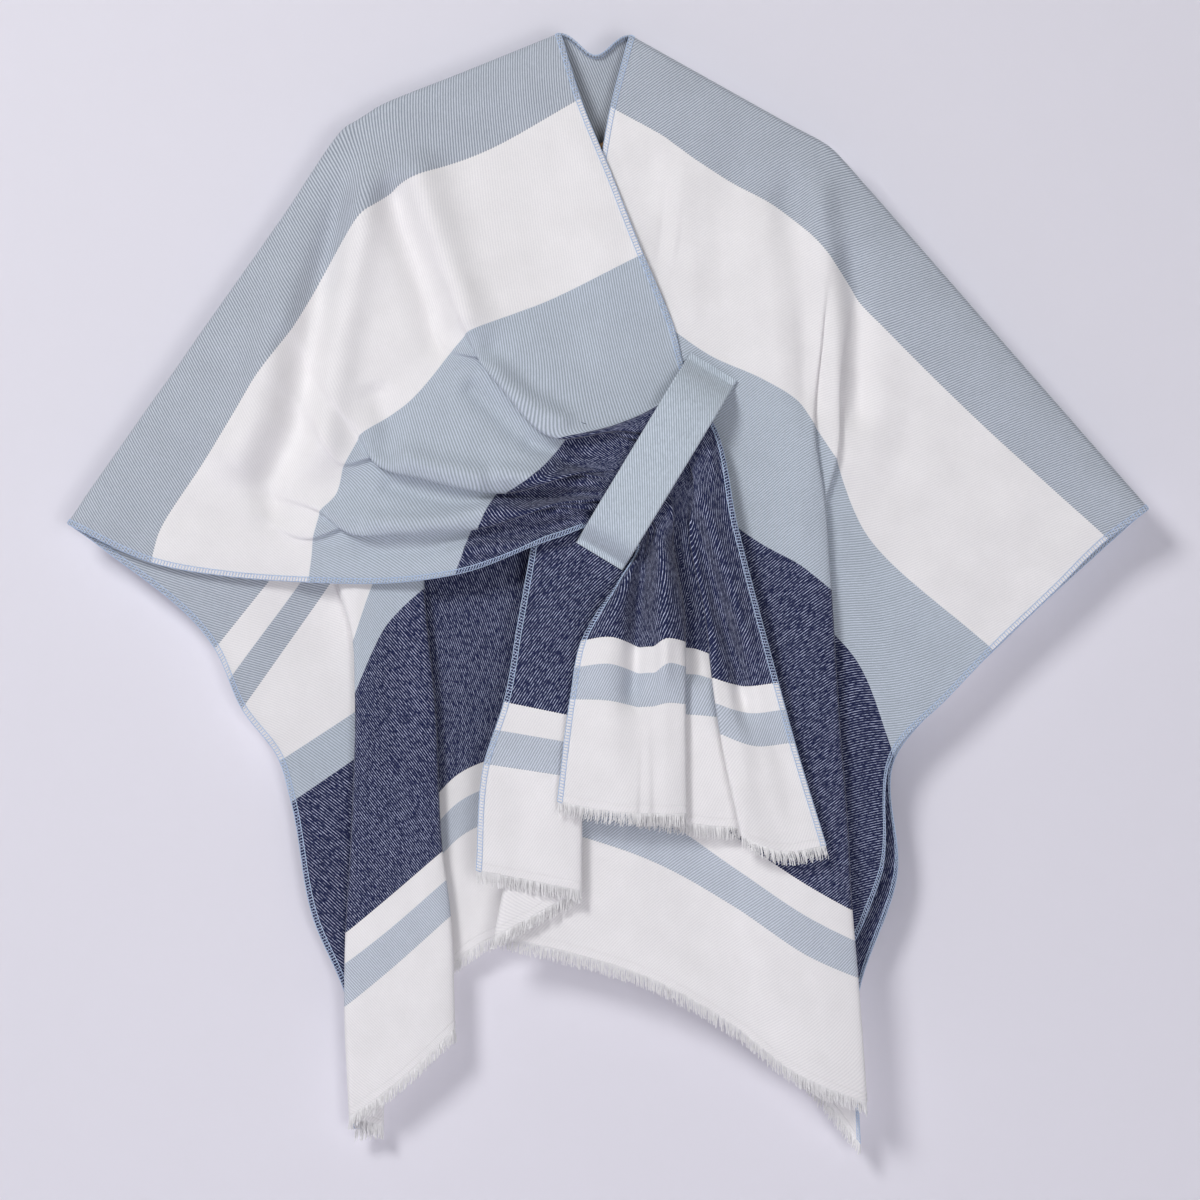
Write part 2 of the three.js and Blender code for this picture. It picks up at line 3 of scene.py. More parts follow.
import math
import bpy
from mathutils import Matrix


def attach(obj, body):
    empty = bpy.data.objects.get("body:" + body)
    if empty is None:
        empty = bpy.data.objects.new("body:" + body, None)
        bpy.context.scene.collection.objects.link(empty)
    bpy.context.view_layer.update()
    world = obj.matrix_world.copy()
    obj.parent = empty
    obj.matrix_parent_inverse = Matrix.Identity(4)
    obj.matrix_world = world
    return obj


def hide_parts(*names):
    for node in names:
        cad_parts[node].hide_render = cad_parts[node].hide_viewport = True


bl_info = {
    "name": "Striped poncho wrap",
    "version": (1, 0, 0),
    "blender": (4, 5, 0),
    "location": "3D View > Sidebar > Wrap",
    "description": "Builds a twill poncho wrap with its strap, edges and fringe, and a plain wall behind it",
    "category": "Object",
}

import bpy
import numpy as np
from mathutils import Vector

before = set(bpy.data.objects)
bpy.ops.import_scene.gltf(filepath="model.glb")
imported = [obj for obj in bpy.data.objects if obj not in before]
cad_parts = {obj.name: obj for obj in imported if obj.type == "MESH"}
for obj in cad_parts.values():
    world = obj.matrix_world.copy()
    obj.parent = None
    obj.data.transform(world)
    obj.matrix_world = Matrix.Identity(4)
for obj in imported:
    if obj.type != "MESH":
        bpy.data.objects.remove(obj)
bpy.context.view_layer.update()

# Millimetres until a mesh is made.
MM = 0.001
BAR_DROP = 100
WALL = 1.6
ROLL = 6.1
HALF_WIDTH = 617
NECK = (-34.7, 26)
# A fold is full once its two turns are this far apart in height and across, and its turns are this high.
FOLD_DROP = 4
FOLD_OVERLAP = 10
TURN = 2.4
# Distances down the cut: past the end of every hem, and where a thread was drawn out for the fringe.
PAST_HEM = 800
DRAWN_THREAD = 742.5
# Creases begin below the bar, rise over the next stretch, and fade over a share of their own length.
CREASE_START = 20
CREASE_RISE = 50
CREASE_FADE = 0.16
# How far a stripe's edge follows the twill lines.
SAWTOOTH = 0.6

# Each row of a table runs across the panel, the first along the shoulder fold. Points are (across, down,
# out): across is X, down is measured from the neck corners, and out is the height towards the viewer. A
# fold has two points, one for each turn of the cloth. cut is the distance from the shoulder fold, at the
# row's first and last point.

RIGHT_FRONT = {
    "columns": ("cut", "slit", "lap", "roll1", "mid1", "roll2", "mid2", "roll3", "mid3", "side"),
    "rows": (
        ((15, -5), (-34.7, 0, 0), (-118, 33.7, 0), (-190, 62.7, 0, -222, 83, 0), (-273.5, 157.8, 0),
         (-312.6, 213.3, 0, -347, 262, 0), (-367, 291, 0), (-388, 320, 0, -428, 377, 0), (-442, 397, 0),
         (-460, 424, 0)),
        ((75, 75), (-17, 58, 12), (-96, 102, 12), (-170, 131, 17, -205, 158, 17), (-238, 208, 9),
         (-265, 255, 12.5, -297, 299, 11), (-314, 327, 9), (-332, 356, 7.5, -370, 412, 6.5),
         (-381, 432, 5), (-388, 457, 4)),
        ((141, 141), (10, 125, 14), (-72, 166, 13), (-140, 193, 14, -160, 216, 13.2), (-202, 262, 12),
         (-236, 306, 9.4, -254, 336, 7.9), (-272, 362, 6), (-289, 393, 5, -303, 422, 4), (-316, 446, 3),
         (-322, 469, 2)),
        ((208, 208), (36, 191, 17), (-45, 231, 15), (-114, 258, 18, -130, 277, 16), (-166, 319, 12),
         (-207, 346, 9.8, -223, 375, 7.4), (-229, 398, 4), (-243, 412, 3.2, -250, 438, 0.4),
         (-251, 452, -2), (-254, 474, -2)),
        ((235, 238), (46, 214, 16), (-32, 254, 16.5), (-103, 284, 22, -101, 281, 17), (-146, 331, 14),
         (-194, 371, 13, -192, 364, 8.5), (-205, 402, 6), (-218, 431, 5.5, -220, 424, 1.5),
         (-225, 452, -1), (-228, 475, -1)),
        ((280, 290), (62, 252, 14), (-10, 292, 19), (-84, 307, 25, -62, 285, 19), (-112, 350, 17),
         (-150, 385, 17, -141, 353, 11), (-165, 408, 9), (-172, 432, 9, -172, 402, 3), (-182, 452, 1),
         (-186, 475, 1)),
        ((335, 350), (76, 299, 13.5), (20, 336, 24), (-43, 349, 32, -24, 332, 26), (-56, 378, 24),
         (-82, 397, 22, -76, 374, 16), (-96, 411, 15), (-102, 427, 15, -100, 407, 9), (-112, 446, 10),
         (-118, 466, 10)),
        ((345, 420), (82, 309, 14), (54, 326, 26), (24, 345, 31, 20, 350, 26), (4, 366, 24),
         (-8, 380, 27, -11, 384, 22), (-18, 396, 21), (-24, 406, 24, -27, 411, 19), (-33, 422, 17),
         (-37, 436, 16)),
        ((356, 490), (88, 322, 16), (76, 337, 29), (63, 354, 31, 59, 359, 26), (50, 372, 24),
         (43, 382, 25, 33, 396, 26), (28, 402, 26), (23, 408, 26, 15, 417, 22), (11, 421, 19.5),
         (7, 425, 16.5)),
        ((372, 520), (97, 338, 20), (88, 357, 31), (77, 374, 32, 78, 374, 26.5), (69, 390, 24),
         (60, 402, 25, 58, 406, 30), (53, 415, 31), (47, 424, 29, 41, 432, 27), (35, 438, 21),
         (31, 442, 15.5)),
        ((434, 548), (117, 425, 30), (98, 430, 33), (78, 436, 34, 92, 432, 27.5), (72, 444, 24),
         (50, 447, 26, 62, 447, 32), (51, 455, 35), (41, 458, 29, 35, 461, 29), (24, 470, 29),
         (15, 476, 21)),
        ((531, 572), (136, 500, 32), (113, 501, 33.5), (91, 502, 34, 108, 498, 27.5), (82, 502, 23),
         (46, 500, 25, 71, 499, 31), (54, 500, 36), (38, 504, 30, 30, 504, 30), (15, 501, 35),
         (-3, 502, 31)),
        ((593, 593), (152, 560, 33), (121, 563, 34), (97, 556, 34.5, 120, 548, 27.5), (84, 532, 23),
         (42, 530, 24, 72, 525, 30), (57, 522, 36), (46, 529, 32, 34, 530, 32), (10, 521, 36),
         (-15, 524, 32)),
        ((649, 649), (166, 611, 33), (132, 614, 34.5), (104, 604, 34.5, 132, 594, 27.5), (87, 588, 23),
         (36, 586, 24, 72, 578, 30), (58, 577, 36), (46, 580, 34, 32, 581, 34), (8, 575, 37),
         (-25, 574, 33)),
        ((749, 749), (193, 700, 33), (156, 705, 34), (122, 692, 34, 152, 684, 27), (98, 684, 22),
         (34, 674, 23, 73, 672, 29), (58, 673, 35), (46, 672, 35, 30, 672, 36), (0, 669, 36),
         (-36, 662, 33)),
    ),
}

LEFT_FRONT = {
    "columns": ("cut", "slit", "box", "front1", "front2", "crest", "column", "wing", "side"),
    "rows": (
        ((12, 32), (26, 1.7, 0), (70, 26.4, 0, 100, 43.2, 0), (130, 60, 0), (165, 79.6, 0), (198, 98, 0),
         (212, 112, 0, 250, 155, 0), (355, 275, 0), (474, 411, 0)),
        ((75, 75), (9.5, 65, 10), (54.6, 90, 10, 82, 110, 10), (112, 129, 10), (150, 150, 13),
         (180, 173, 17), (196, 191, 11, 224, 232, 10), (315, 324, 5), (439, 437, 3)),
        ((141, 141), (-2, 131, 10), (48, 167, 10, 70, 182, 9), (98, 201, 10), (142, 227, 13),
         (172, 248, 19), (190, 267, 14.5, 208, 296, 11.2), (270, 378, 5), (393, 482, 2)),
        ((208, 208), (-14, 198, 9), (36, 236, 9, 58, 252, 9), (94, 277, 9), (140, 298, 12),
         (171, 318, 19), (184, 337, 15.5, 204, 367, 11), (232, 434, 3), (341, 532, 1)),
        ((270, 270), (-25, 258, 8.5), (30, 295, 8.5, 54, 312, 8.5), (91, 335, 9), (139, 363, 12),
         (171, 384, 19), (193, 407, 15, 191, 414, 10), (226, 484, 3), (300, 575, 0)),
        ((341, 341), (-37.5, 327, 8), (22, 364, 8, 50, 381, 8), (86, 402, 9), (138, 438, 12),
         (172, 457, 19), (198, 478, 13, 176, 492, 6), (222, 540, 3), (255, 621, -2)),
        ((467, 467), (-60, 452, 10), (-4, 472, 9, 16, 486, 9), (66, 508, 9), (130, 558, 12),
         (174, 588, 19), (206, 606, 13, 180, 628, 6), (218, 690, 2), (243, 729, -2)),
        ((530, 530), (-71, 514, 13.5), (-6, 534, 14, -4, 536, 9), (56, 572, 9), (125, 626, 12),
         (175, 660, 19), (212, 681, 13, 183, 702, 6), (209, 741, 1.5), (228, 769, -2)),
        ((593, 593), (-82, 577, 17), (-18, 590, 17, -52, 610, 10), (44, 640, 9), (118, 694, 12),
         (176, 733, 19), (216, 756, 13, 186, 776, 6), (198, 792, 1), (212, 808, -2)),
        ((649, 649), (-99, 630, 18), (-17, 642, 18, -69, 678, 11), (40, 712, 9), (117, 754, 12),
         (177, 794, 19), (221, 814, 13, 190, 832, 6), (201, 842, 1), (213, 850, -2)),
        ((749, 749), (-106, 722, 18), (-17, 739, 18, -90, 779, 11), (34, 812, 9), (110, 852, 12),
         (170, 897, 18), (229, 922, 12, 196, 906, 5), (203, 900, 0), (215, 898, -3)),
    ),
}

BACK = {
    "columns": ("cut", "side", "outer", "face", "inner", "neck1", "middle", "neck2", "turn", "wave1",
                "wave2", "far"),
    "rows": (
        ((0, 0), (-460, 424, 0), (-347, 262, 0, -273, 158, 0), (-213, 75, 0),
         (-170, 54.6, 0, -118, 33.7, 0), (-34.7, 0, 0), (-4, 19, 0), (26, 1.7, 0), (130, 60, 0),
         (198, 98, 0), (300, 212, 0), (474, 411, 0)),
        ((80, 80), (-428, 447, -4), (-312, 318, -8, -254, 232, -8), (-208, 150, -15),
         (-170, 135, -18, -112, 112, -16), (-40, 88, -14), (0, 86, -13), (40, 92, -14), (122, 140, -17),
         (205, 190, -20), (322, 322, -10), (437, 444, -5)),
        ((150, 150), (-334, 532, -10), (-252, 424, -13, -236, 370, -13), (-198, 265, -13),
         (-163, 250, -18, -124, 215, -18), (-62, 186, -19), (-4, 168, -20), (52, 176, -20),
         (116, 208, -20), (198, 258, -26), (282, 392, -14), (390, 487, -8)),
        ((209, 209), (-311, 584, -12), (-232, 470, -19, -230, 462, -14), (-194, 362, -11),
         (-162, 338, -17, -146, 312, -18.5), (-74, 256, -22), (-10, 230, -21), (50, 238, -20),
         (112, 268, -21), (194, 330, -29), (256, 450, -15), (340, 535, -10)),
        ((289, 289), (-279, 629, -17), (-192, 572, -24, -214, 524, -14), (-188, 456, -9),
         (-156, 430, -14, -157, 424, -19), (-100, 344, -23), (-28, 316, -21), (40, 322, -20),
         (105, 348, -21), (192, 415, -31), (240, 520, -15), (292, 582, -11)),
        ((341, 341), (-269, 664, -18), (-190, 610, -24, -212, 568, -14), (-186, 510, -8),
         (-154, 478, -13, -166, 456, -19), (-112, 396, -23), (-40, 370, -21), (34, 375, -19),
         (100, 400, -21), (192, 470, -31), (236, 565, -15), (257, 625, -12)),
        ((467, 467), (-251, 762, -20), (-188, 728, -25, -215, 690, -14), (-182, 624, -7),
         (-144, 584, -12, -164, 560, -19), (-118, 516, -23), (-54, 496, -20), (20, 500, -18),
         (90, 522, -20), (186, 600, -30), (228, 680, -17), (258, 728, -12)),
        ((593, 593), (-218, 850, -23), (-190, 818, -25, -220, 778, -14), (-182, 746, -7),
         (-138, 708, -12, -161, 684, -19), (-122, 640, -23), (-62, 622, -20), (10, 624, -18),
         (80, 648, -20), (172, 722, -30), (214, 790, -18), (224, 838, -13)),
        ((649, 649), (-216, 888, -23), (-190, 870, -25, -221, 842, -14), (-180, 808, -7),
         (-131, 764, -12, -158, 738, -19), (-120, 694, -23), (-62, 674, -20), (8, 678, -18),
         (78, 704, -20), (166, 780, -29), (210, 842, -18), (223, 886, -13)),
        ((749, 749), (-214, 950, -23), (-190, 948, -25, -217, 938, -14), (-176, 908, -7),
         (-127, 862, -12, -155, 838, -19), (-116, 796, -23), (-60, 773, -20), (4, 776, -18),
         (76, 808, -20), (158, 884, -27), (204, 934, -18), (226, 962, -13)),
    ),
}

STRAP = {
    "start": (98, 289), "end": (-0.5, 452.5), "width": 47, "thick": 3.2, "clearance": 0.6,
    "lift": ((0, 0), (6, 0), (12, 7), (20, 17), (34, 25), (60, 28), (95, 28), (130, 28), (158, 27),
             (170, 22), (178, 12), (186, 0), (191, 0)),
}

# The last distance from the shoulder fold, and the colour up to there.
FRONT_STRIPES = ((75, "grey"), (208, "white"), (341, "blue"), (593, "navy"), (618, "white"),
                 (649, "band"), (PAST_HEM, "white"))
BACK_STRIPES = ((150, "grey"), (178, "white"), (209, "grey"), (289, "white"), (341, "blue"),
                (593, "navy"), (618, "white"), (649, "band"), (PAST_HEM, "white"))

# How much of a stripe its raised thread covers, and how far it stands out of the brushed nap.
HABITS = {"grey": (0.92, 0.8, 0.0, 1.0), "blue": (0.95, 0.7, 0.0, 1.0), "band": (0.95, 0.7, 0.0, 1.0),
          "navy": (0.22, 0.8, 0.0, 1.0), "white": (0.93, 0.1, 0.0, 1.0)}

# Creases that the tables are too coarse for: how far the cloth rises, how wide, and where it runs as
# (across, down) points.
CREASES = {
    "right_front": (
        (11.0, 17, ((-164, 96), (-146, 160), (-122, 225), (-108, 272))),
        (-12.0, 15, ((-186, 120), (-168, 175), (-146, 230), (-134, 290))),
        (-6.0, 11, ((-104, 262), (-78, 292), (-46, 318), (-16, 330))),
        (-9.5, 14, ((-214, 78), (-226, 130), (-240, 199), (-251, 266), (-264, 344), (-287, 390), (-282, 416),
                    (-244, 432))),
        (12.0, 20, ((-262, 130), (-278, 230), (-296, 330), (-330, 400))),
        (10.0, 16, ((-196, 92), (-206, 180), (-222, 262), (-236, 350), (-252, 398))),
        (-6.0, 13, ((-196, 300), (-180, 345), (-190, 372))),
        (-1.4, 16, ((-60, 120), (-50, 190), (-20, 260))),
        (-10.0, 8, ((-70, 352), (-40, 362), (-12, 376), (16, 382))),
        (9.0, 9, ((-100, 378), (-60, 384), (-24, 389), (14, 390))),
        (-7.0, 7, ((-108, 397), (-46, 401), (8, 398))),
        (9.0, 8, ((-130, 414), (-52, 415), (4, 408))),
        (-4.0, 7, ((-160, 434), (-116, 435), (-56, 429), (-8, 417))),
        (6.0, 7, ((-140, 448), (-90, 446), (-40, 436), (-8, 428))),
        (7.0, 11, ((-100, 280), (-66, 314), (-20, 341))),
        (-6.0, 9, ((-120, 300), (-92, 326), (-56, 360))),
        (-6.0, 8, ((-194, 388), (-150, 399), (-98, 409))),
        (8.0, 10, ((-180, 364), (-140, 376), (-90, 385))),
        (7.0, 9, ((-210, 422), (-160, 424), (-110, 420))),
        (-4.0, 7, ((-220, 445), (-172, 447), (-110, 441))),
        (-12.0, 9, ((42, 428), (34, 480), (30, 528), (26, 590))),
        (6.0, 9, ((50, 430), (54, 480), (54, 570))),
        (-13.0, 9, ((60, 412), (72, 462), (82, 520), (88, 570))),
        (-13.0, 9, ((70, 392), (94, 465), (118, 552), (128, 610))),
        (7.0, 9, ((80, 384), (104, 456), (132, 548))),
        (1.6, 9, ((112, 520), (120, 600), (132, 690))),
        (-2.4, 8, ((96, 520), (106, 590), (116, 660))),
        (-1.8, 9, ((136, 540), (150, 610), (170, 690))),
    ),
    "left_front": (
        (-2.4, 14, ((44, 95), (48, 160), (52, 250))),
        (1.6, 16, ((72, 110), (78, 180), (80, 260))),
        (-9.0, 17, ((160, 110), (172, 200), (182, 345))),
        (6.0, 12, ((190, 120), (200, 220), (202, 330))),
        (-8.0, 12, ((214, 170), (224, 250), (222, 352))),
        (1.4, 20, ((130, 160), (138, 240), (140, 330))),
        (-1.6, 24, ((250, 240), (262, 330), (250, 420))),
        (-1.6, 22, ((330, 330), (322, 400), (290, 470))),
        (-2.0, 18, ((90, 560), (86, 640), (80, 740), (74, 820))),
        (1.6, 18, ((140, 600), (146, 700), (142, 800), (140, 870))),
        (-1.8, 12, ((-72, 620), (-70, 680), (-66, 745))),
        (1.4, 12, ((-44, 600), (-40, 680), (-38, 740))),
    ),
    "back": (
        (-2.2, 16, ((-176, 480), (-172, 560), (-166, 650))),
        (2.2, 14, ((-200, 540), (-204, 620), (-205, 740))),
        (-2.0, 16, ((-92, 520), (-96, 600), (-98, 700))),
        (2.0, 22, ((-30, 480), (-32, 600), (-26, 740))),
        (-2.0, 26, ((48, 120), (44, 260), (40, 420))),
        (2.0, 24, ((110, 160), (104, 300), (92, 460))),
        (-1.8, 28, ((-60, 120), (-76, 220), (-90, 330))),
        (1.8, 30, ((150, 320), (146, 460), (130, 620))),
        (-1.8, 22, ((-270, 300), (-262, 380), (-256, 470))),
    ),
}


# Cloth surfaces


def controls(table, row):
    """The control points of one row, (across, down, out, cut). A fold gives four."""
    points = []
    row = dict(zip(table["columns"], row))
    first_cut, last_cut = row.pop("cut")
    for number, entry in enumerate(row.values()):
        cut = first_cut + (last_cut - first_cut) * number / (len(row) - 1)
        if len(entry) == 3:
            points.append(np.array([*entry, cut], float))
            continue
        first, second = (np.array([*entry[i:i + 3], cut], float) for i in (0, 3))
        drop = first[2] - second[2]
        overlap = np.hypot(*(first - second)[:2])
        folded = min(1, abs(drop) / FOLD_DROP) * min(1, overlap / FOLD_OVERLAP)
        lift = np.array([0, 0, TURN * folded * np.sign(drop), 0])
        inner1 = first + (second - first) * (1 - folded) / 3 - lift
        inner2 = second + (first - second) * (1 - folded) / 3 + lift
        points += [first + lift, inner1, inner2, second - lift]
    return np.array(points)


def through(points, stations, steps):
    """A smooth curve through points, each column at its own stations, with the slope of a parabola
    through a point and its two neighbours. steps is how many pieces each stretch gets."""
    gap = np.diff(stations, axis=0)[..., None]
    slope = np.diff(points, axis=0) / gap
    tangent = np.empty_like(points)
    tangent[0], tangent[-1] = slope[0], slope[-1]
    tangent[1:-1] = (slope[:-1] * gap[1:] + slope[1:] * gap[:-1]) / (gap[:-1] + gap[1:])
    rows = []
    for i, count in enumerate(steps):
        t = (np.arange(count) / count)[:, None, None]
        rows.append((2 * t**3 - 3 * t**2 + 1) * points[i] + (t**3 - 2 * t**2 + t) * gap[i] * tangent[i]
                    + (3 * t**2 - 2 * t**3) * points[i + 1] + (t**3 - t**2) * gap[i] * tangent[i + 1])
    rows.append(points[-1:])
    return np.concatenate(rows)


def apart(points):
    """Distances between each row of points and the next one."""
    return np.linalg.norm(np.diff(points[..., :3], axis=0), axis=-1)


def stations_of(lengths):
    """Running sums of the lengths, from zero."""
    return np.concatenate([np.zeros_like(lengths[:1]), np.cumsum(lengths, axis=0)])


def rolled(table, facing):
    """A panel's rows with those that roll over the bar put in after the shoulder fold."""
    rows = [controls(table, row) for row in table["rows"]]
    to_next = (rows[1] - rows[0])[:, :2]
    step = to_next / np.linalg.norm(to_next, axis=1)[:, None]
    over = []
    for angle in (0, 30, 60, 90):
        turn = math.radians(angle)
        row = rows[0].copy()
        row[:, :2] += step * ROLL * (1 - math.cos(turn))
        row[:, 2] = facing * ROLL * math.sin(turn)
        row[:, 3] += ROLL * turn
        over.append(row)
    return np.array(over + rows[1:])


def smoothstep(value):
    value = np.clip(value, 0, 1)
    return value * value * (3 - 2 * value)


def crease_lift(across, down, creases):
    """How far the creases raise the cloth at each place."""
    lift = np.zeros_like(across)
    for rise, wide, path in creases:
        path = np.array(path, float)
        lengths = apart(path)
        total = lengths.sum()
        nearest = np.full(across.shape, np.inf)
        share = np.zeros_like(across)
        before = 0.0
        for start, stop, length in zip(path[:-1], path[1:], lengths):
            run = (stop - start) / length
            along = (across - start[0]) * run[0] + (down - start[1]) * run[1]
            along = np.clip(along, 0, length)
            distance = np.hypot(across - start[0] - run[0] * along, down - start[1] - run[1] * along)
            closer = distance < nearest
            nearest = np.where(closer, distance, nearest)
            share = np.where(closer, (before + along) / total, share)
            before += length
        ends = smoothstep(share / CREASE_FADE) * smoothstep((1 - share) / CREASE_FADE)
        lift += rise * ends * np.exp(-((nearest / wide) ** 2))
    return lift


def ripple(u, v, seed):
    """Small uneven waves of a soft cloth, from a sum of seeded sines."""
    rng = np.random.default_rng(seed)
    waves = np.zeros_like(u)
    for length, height, count in ((150, 0.7, 6), (60, 0.28, 8), (24, 0.09, 8)):
        for _ in range(count):
            angle = rng.uniform(-0.6, 0.6)
            phase = rng.uniform(0, 2 * math.pi)
            size = length * rng.uniform(0.7, 1.4)
            waves += height / math.sqrt(count) * np.sin(
                2 * math.pi * (u * math.cos(angle) + v * math.sin(angle)) / size + phase)
    return waves


def lay_flat(points, rounds=1200):
    """Metric cloth coordinates: along the row and down it, as near to true lengths as the folds let.
    Found by least squares over the lengths between neighbours, by conjugate gradients."""
    along = np.diff(points, axis=1)
    down = np.diff(points, axis=0)
    tangent = np.gradient(points, axis=1)
    tangent /= np.linalg.norm(tangent, axis=2)[..., None] + 1e-9
    wide, tall = np.linalg.norm(along, axis=2), np.linalg.norm(down, axis=2)
    slide = (down * (tangent[:-1] + tangent[1:]) / 2).sum(axis=2)
    fall = np.sqrt(np.maximum(tall**2 - slide**2, 1e-6))
    across_weight, down_weight = 1 / np.maximum(wide, 0.5), 1 / np.maximum(tall, 0.5)

    def spread(horizontal, vertical):
        total = np.zeros(points.shape[:2])
        total[:, 1:] += horizontal
        total[:, :-1] -= horizontal
        total[1:] += vertical
        total[:-1] -= vertical
        return total

    def solve(horizontal, vertical):
        value = np.zeros(points.shape[:2])
        rest = spread(across_weight * horizontal, down_weight * vertical)
        move, size = rest.copy(), (rest**2).sum()
        for _ in range(rounds):
            turned = spread(across_weight * np.diff(move, axis=1), down_weight * np.diff(move, axis=0))
            pace = size / (move * turned).sum()
            value += pace * move
            rest -= pace * turned
            new = (rest**2).sum()
            move, size = rest + move * new / size, new
        return value

    start = stations_of(wide.T).T
    start -= start[:, start.shape[1] // 2][:, None]
    first = solve(wide - np.diff(start, axis=1), slide - np.diff(start, axis=0)) + start
    below = stations_of(tall)
    second = solve(0 - np.diff(below, axis=1), fall - np.diff(below, axis=0)) + below
    return first, second


def place(points):
    """Table points as positions in metres."""
    return np.stack([points[..., 0], -points[..., 2], BAR_DROP - points[..., 1]], axis=-1) * MM


def unit(vectors):
    return vectors / (np.linalg.norm(vectors, axis=-1, keepdims=True) + 1e-12)


def facing_normals(points):
    """Normals of a grid of positions, towards the viewer on a front panel."""
    return unit(np.cross(np.gradient(points, axis=1), np.gradient(points, axis=0)))


class Panel:
    """One panel's middle surface as a fine grid, from the shoulder fold down and from edge to edge."""

    def __init__(self, name, table, facing, pitch):
        rows = rolled(table, facing)
        lengths = np.maximum(apart(rows), 1)
        down_steps = np.maximum(2, np.round(lengths.mean(axis=1) / pitch)).astype(int)
        lines = through(rows, stations_of(lengths), down_steps)
        turned = lines.transpose(1, 0, 2)
        widths = apart(turned)
        across_steps = np.maximum(5, np.round(widths.max(axis=1) / pitch)).astype(int)
        stations = stations_of(np.sqrt(np.maximum(widths, 1)))
        grid = through(turned, stations, across_steps).transpose(1, 0, 2)
        self.facing, self.cut = facing, grid[..., 3]
        run = stations_of(apart(grid.transpose(1, 0, 2))).T
        self.share = run / run[:, -1:]
        away = smoothstep((self.cut - CREASE_START) / CREASE_RISE)
        lift = crease_lift(grid[..., 0], grid[..., 1], CREASES[name])
        lift += ripple(self.share * HALF_WIDTH, self.cut, seed=len(name) * 7)
        grid[..., 2] += lift * away
        self.grid = grid[..., :3]
        self.weave = lay_flat(self.grid)
        if name == "back":
            across, down = grid[..., 0], grid[..., 1]
            plain = 1 - smoothstep(np.hypot(across / 80, down / 170) * 2 - 1)
            self.weave = [layer + (flat - layer) * plain
                          for layer, flat in zip(self.weave, (across, down))]
        self.settle()

    def settle(self):
        """Works the positions and normals out from the grid."""
        self.points = place(self.grid)
        self.normals = facing_normals(self.points)
        self.normals[0] = unit(self.normals[0] * [1, 0, 1])

    def ground(self, across, down):
        """The height of the surface at places, from the nearest of its own points."""
        flat = self.grid.reshape(-1, 3)
        near = (flat[:, None, 0] - across) ** 2 + (flat[:, None, 1] - down) ** 2
        best = np.argsort(near, axis=0)[:4]
        return flat[best, 2].max(axis=0)


PANEL_NAMES = ("left_front", "right_front", "back")
PANELS = {}


def panel(name):
    """The named panel, made once."""
    if not PANELS:
        sizes = bpy.context.scene.wrap_sizes
        for each, table, facing in (("right_front", RIGHT_FRONT, 1), ("left_front", LEFT_FRONT, 1),
                                    ("back", BACK, -1)):
            step = sizes.back_pitch if each == "back" else sizes.cloth_pitch
            PANELS[each] = Panel(each, table, facing, step / MM)
        meet_at_shoulder()
    return PANELS[name]


def meet_at_shoulder():
    """Draws the back's first rows onto the fronts' shoulder fold, so that the cloth goes on over it."""
    back = PANELS["back"]
    first = back.grid[0]
    for name in ("right_front", "left_front"):
        fold = PANELS[name].grid[0]
        order = np.argsort(fold[:, 0])
        inside = (first[:, 0] >= fold[order[0], 0]) & (first[:, 0] <= fold[order[-1], 0])
        miss = np.interp(first[:, 0], fold[order, 0], fold[order, 1]) - first[:, 1]
        fade = 1 - smoothstep(back.cut / 60)
        back.grid[..., 1] += np.where(inside, miss, 0) * fade
    back.settle()


# Meshes


def add_object(name, mesh, *materials):
    piece = bpy.data.objects.new(name, mesh)
    bpy.context.scene.collection.objects.link(piece)
    for material in materials:
        mesh.materials.append(material)
    return piece


def outward(vertices, faces):
    """The faces, turned round if they look into the closed wall."""
    tris = np.concatenate([faces[:, :3], faces[:, [0, 2, 3]]])
    a, b, c = (vertices[tris[:, i]] for i in range(3))
    volume = (a * np.cross(b, c)).sum()
    return faces if volume > 0 else faces[:, ::-1]


def wall_mesh(name, points, normals, thick, layers, taper=None):
    """A closed wall around a grid. layers are {map name: (across, down)} for its UV maps."""
    rows, columns = points.shape[:2]
    half = normals * thick / 2
    if taper is not None:
        half = half * taper[..., None]
    vertices = np.concatenate([(points + half).reshape(-1, 3), (points - half).reshape(-1, 3)])
    number = np.arange(rows * columns).reshape(rows, columns)
    under = number + rows * columns
    quads = [
        (number[:-1, :-1], number[:-1, 1:], number[1:, 1:], number[1:, :-1]),
        (under[:-1, :-1], under[1:, :-1], under[1:, 1:], under[:-1, 1:]),
        (number[:-1, 0], number[1:, 0], under[1:, 0], under[:-1, 0]),
        (number[:-1, -1], under[:-1, -1], under[1:, -1], number[1:, -1]),
        (number[0, :-1], under[0, :-1], under[0, 1:], number[0, 1:]),
        (number[-1, :-1], number[-1, 1:], under[-1, 1:], under[-1, :-1]),
    ]
    faces = np.concatenate([np.stack([q.ravel() for q in quad], axis=1) for quad in quads])
    faces = outward(vertices, faces)
    mesh = bpy.data.meshes.new(name)
    mesh.from_pydata(vertices.tolist(), [], faces.tolist())
    corner = faces.ravel()
    for layer, (across, down) in layers.items():
        both = np.stack([np.tile(across.ravel(), 2), np.tile(down.ravel(), 2)], axis=1)
        mesh.uv_layers.new(name=layer).data.foreach_set("uv", both[corner].ravel().astype(np.float32))
    mesh.shade_smooth()
    mesh.set_sharp_from_angle(angle=math.radians(50))
    mesh.validate()
    return mesh


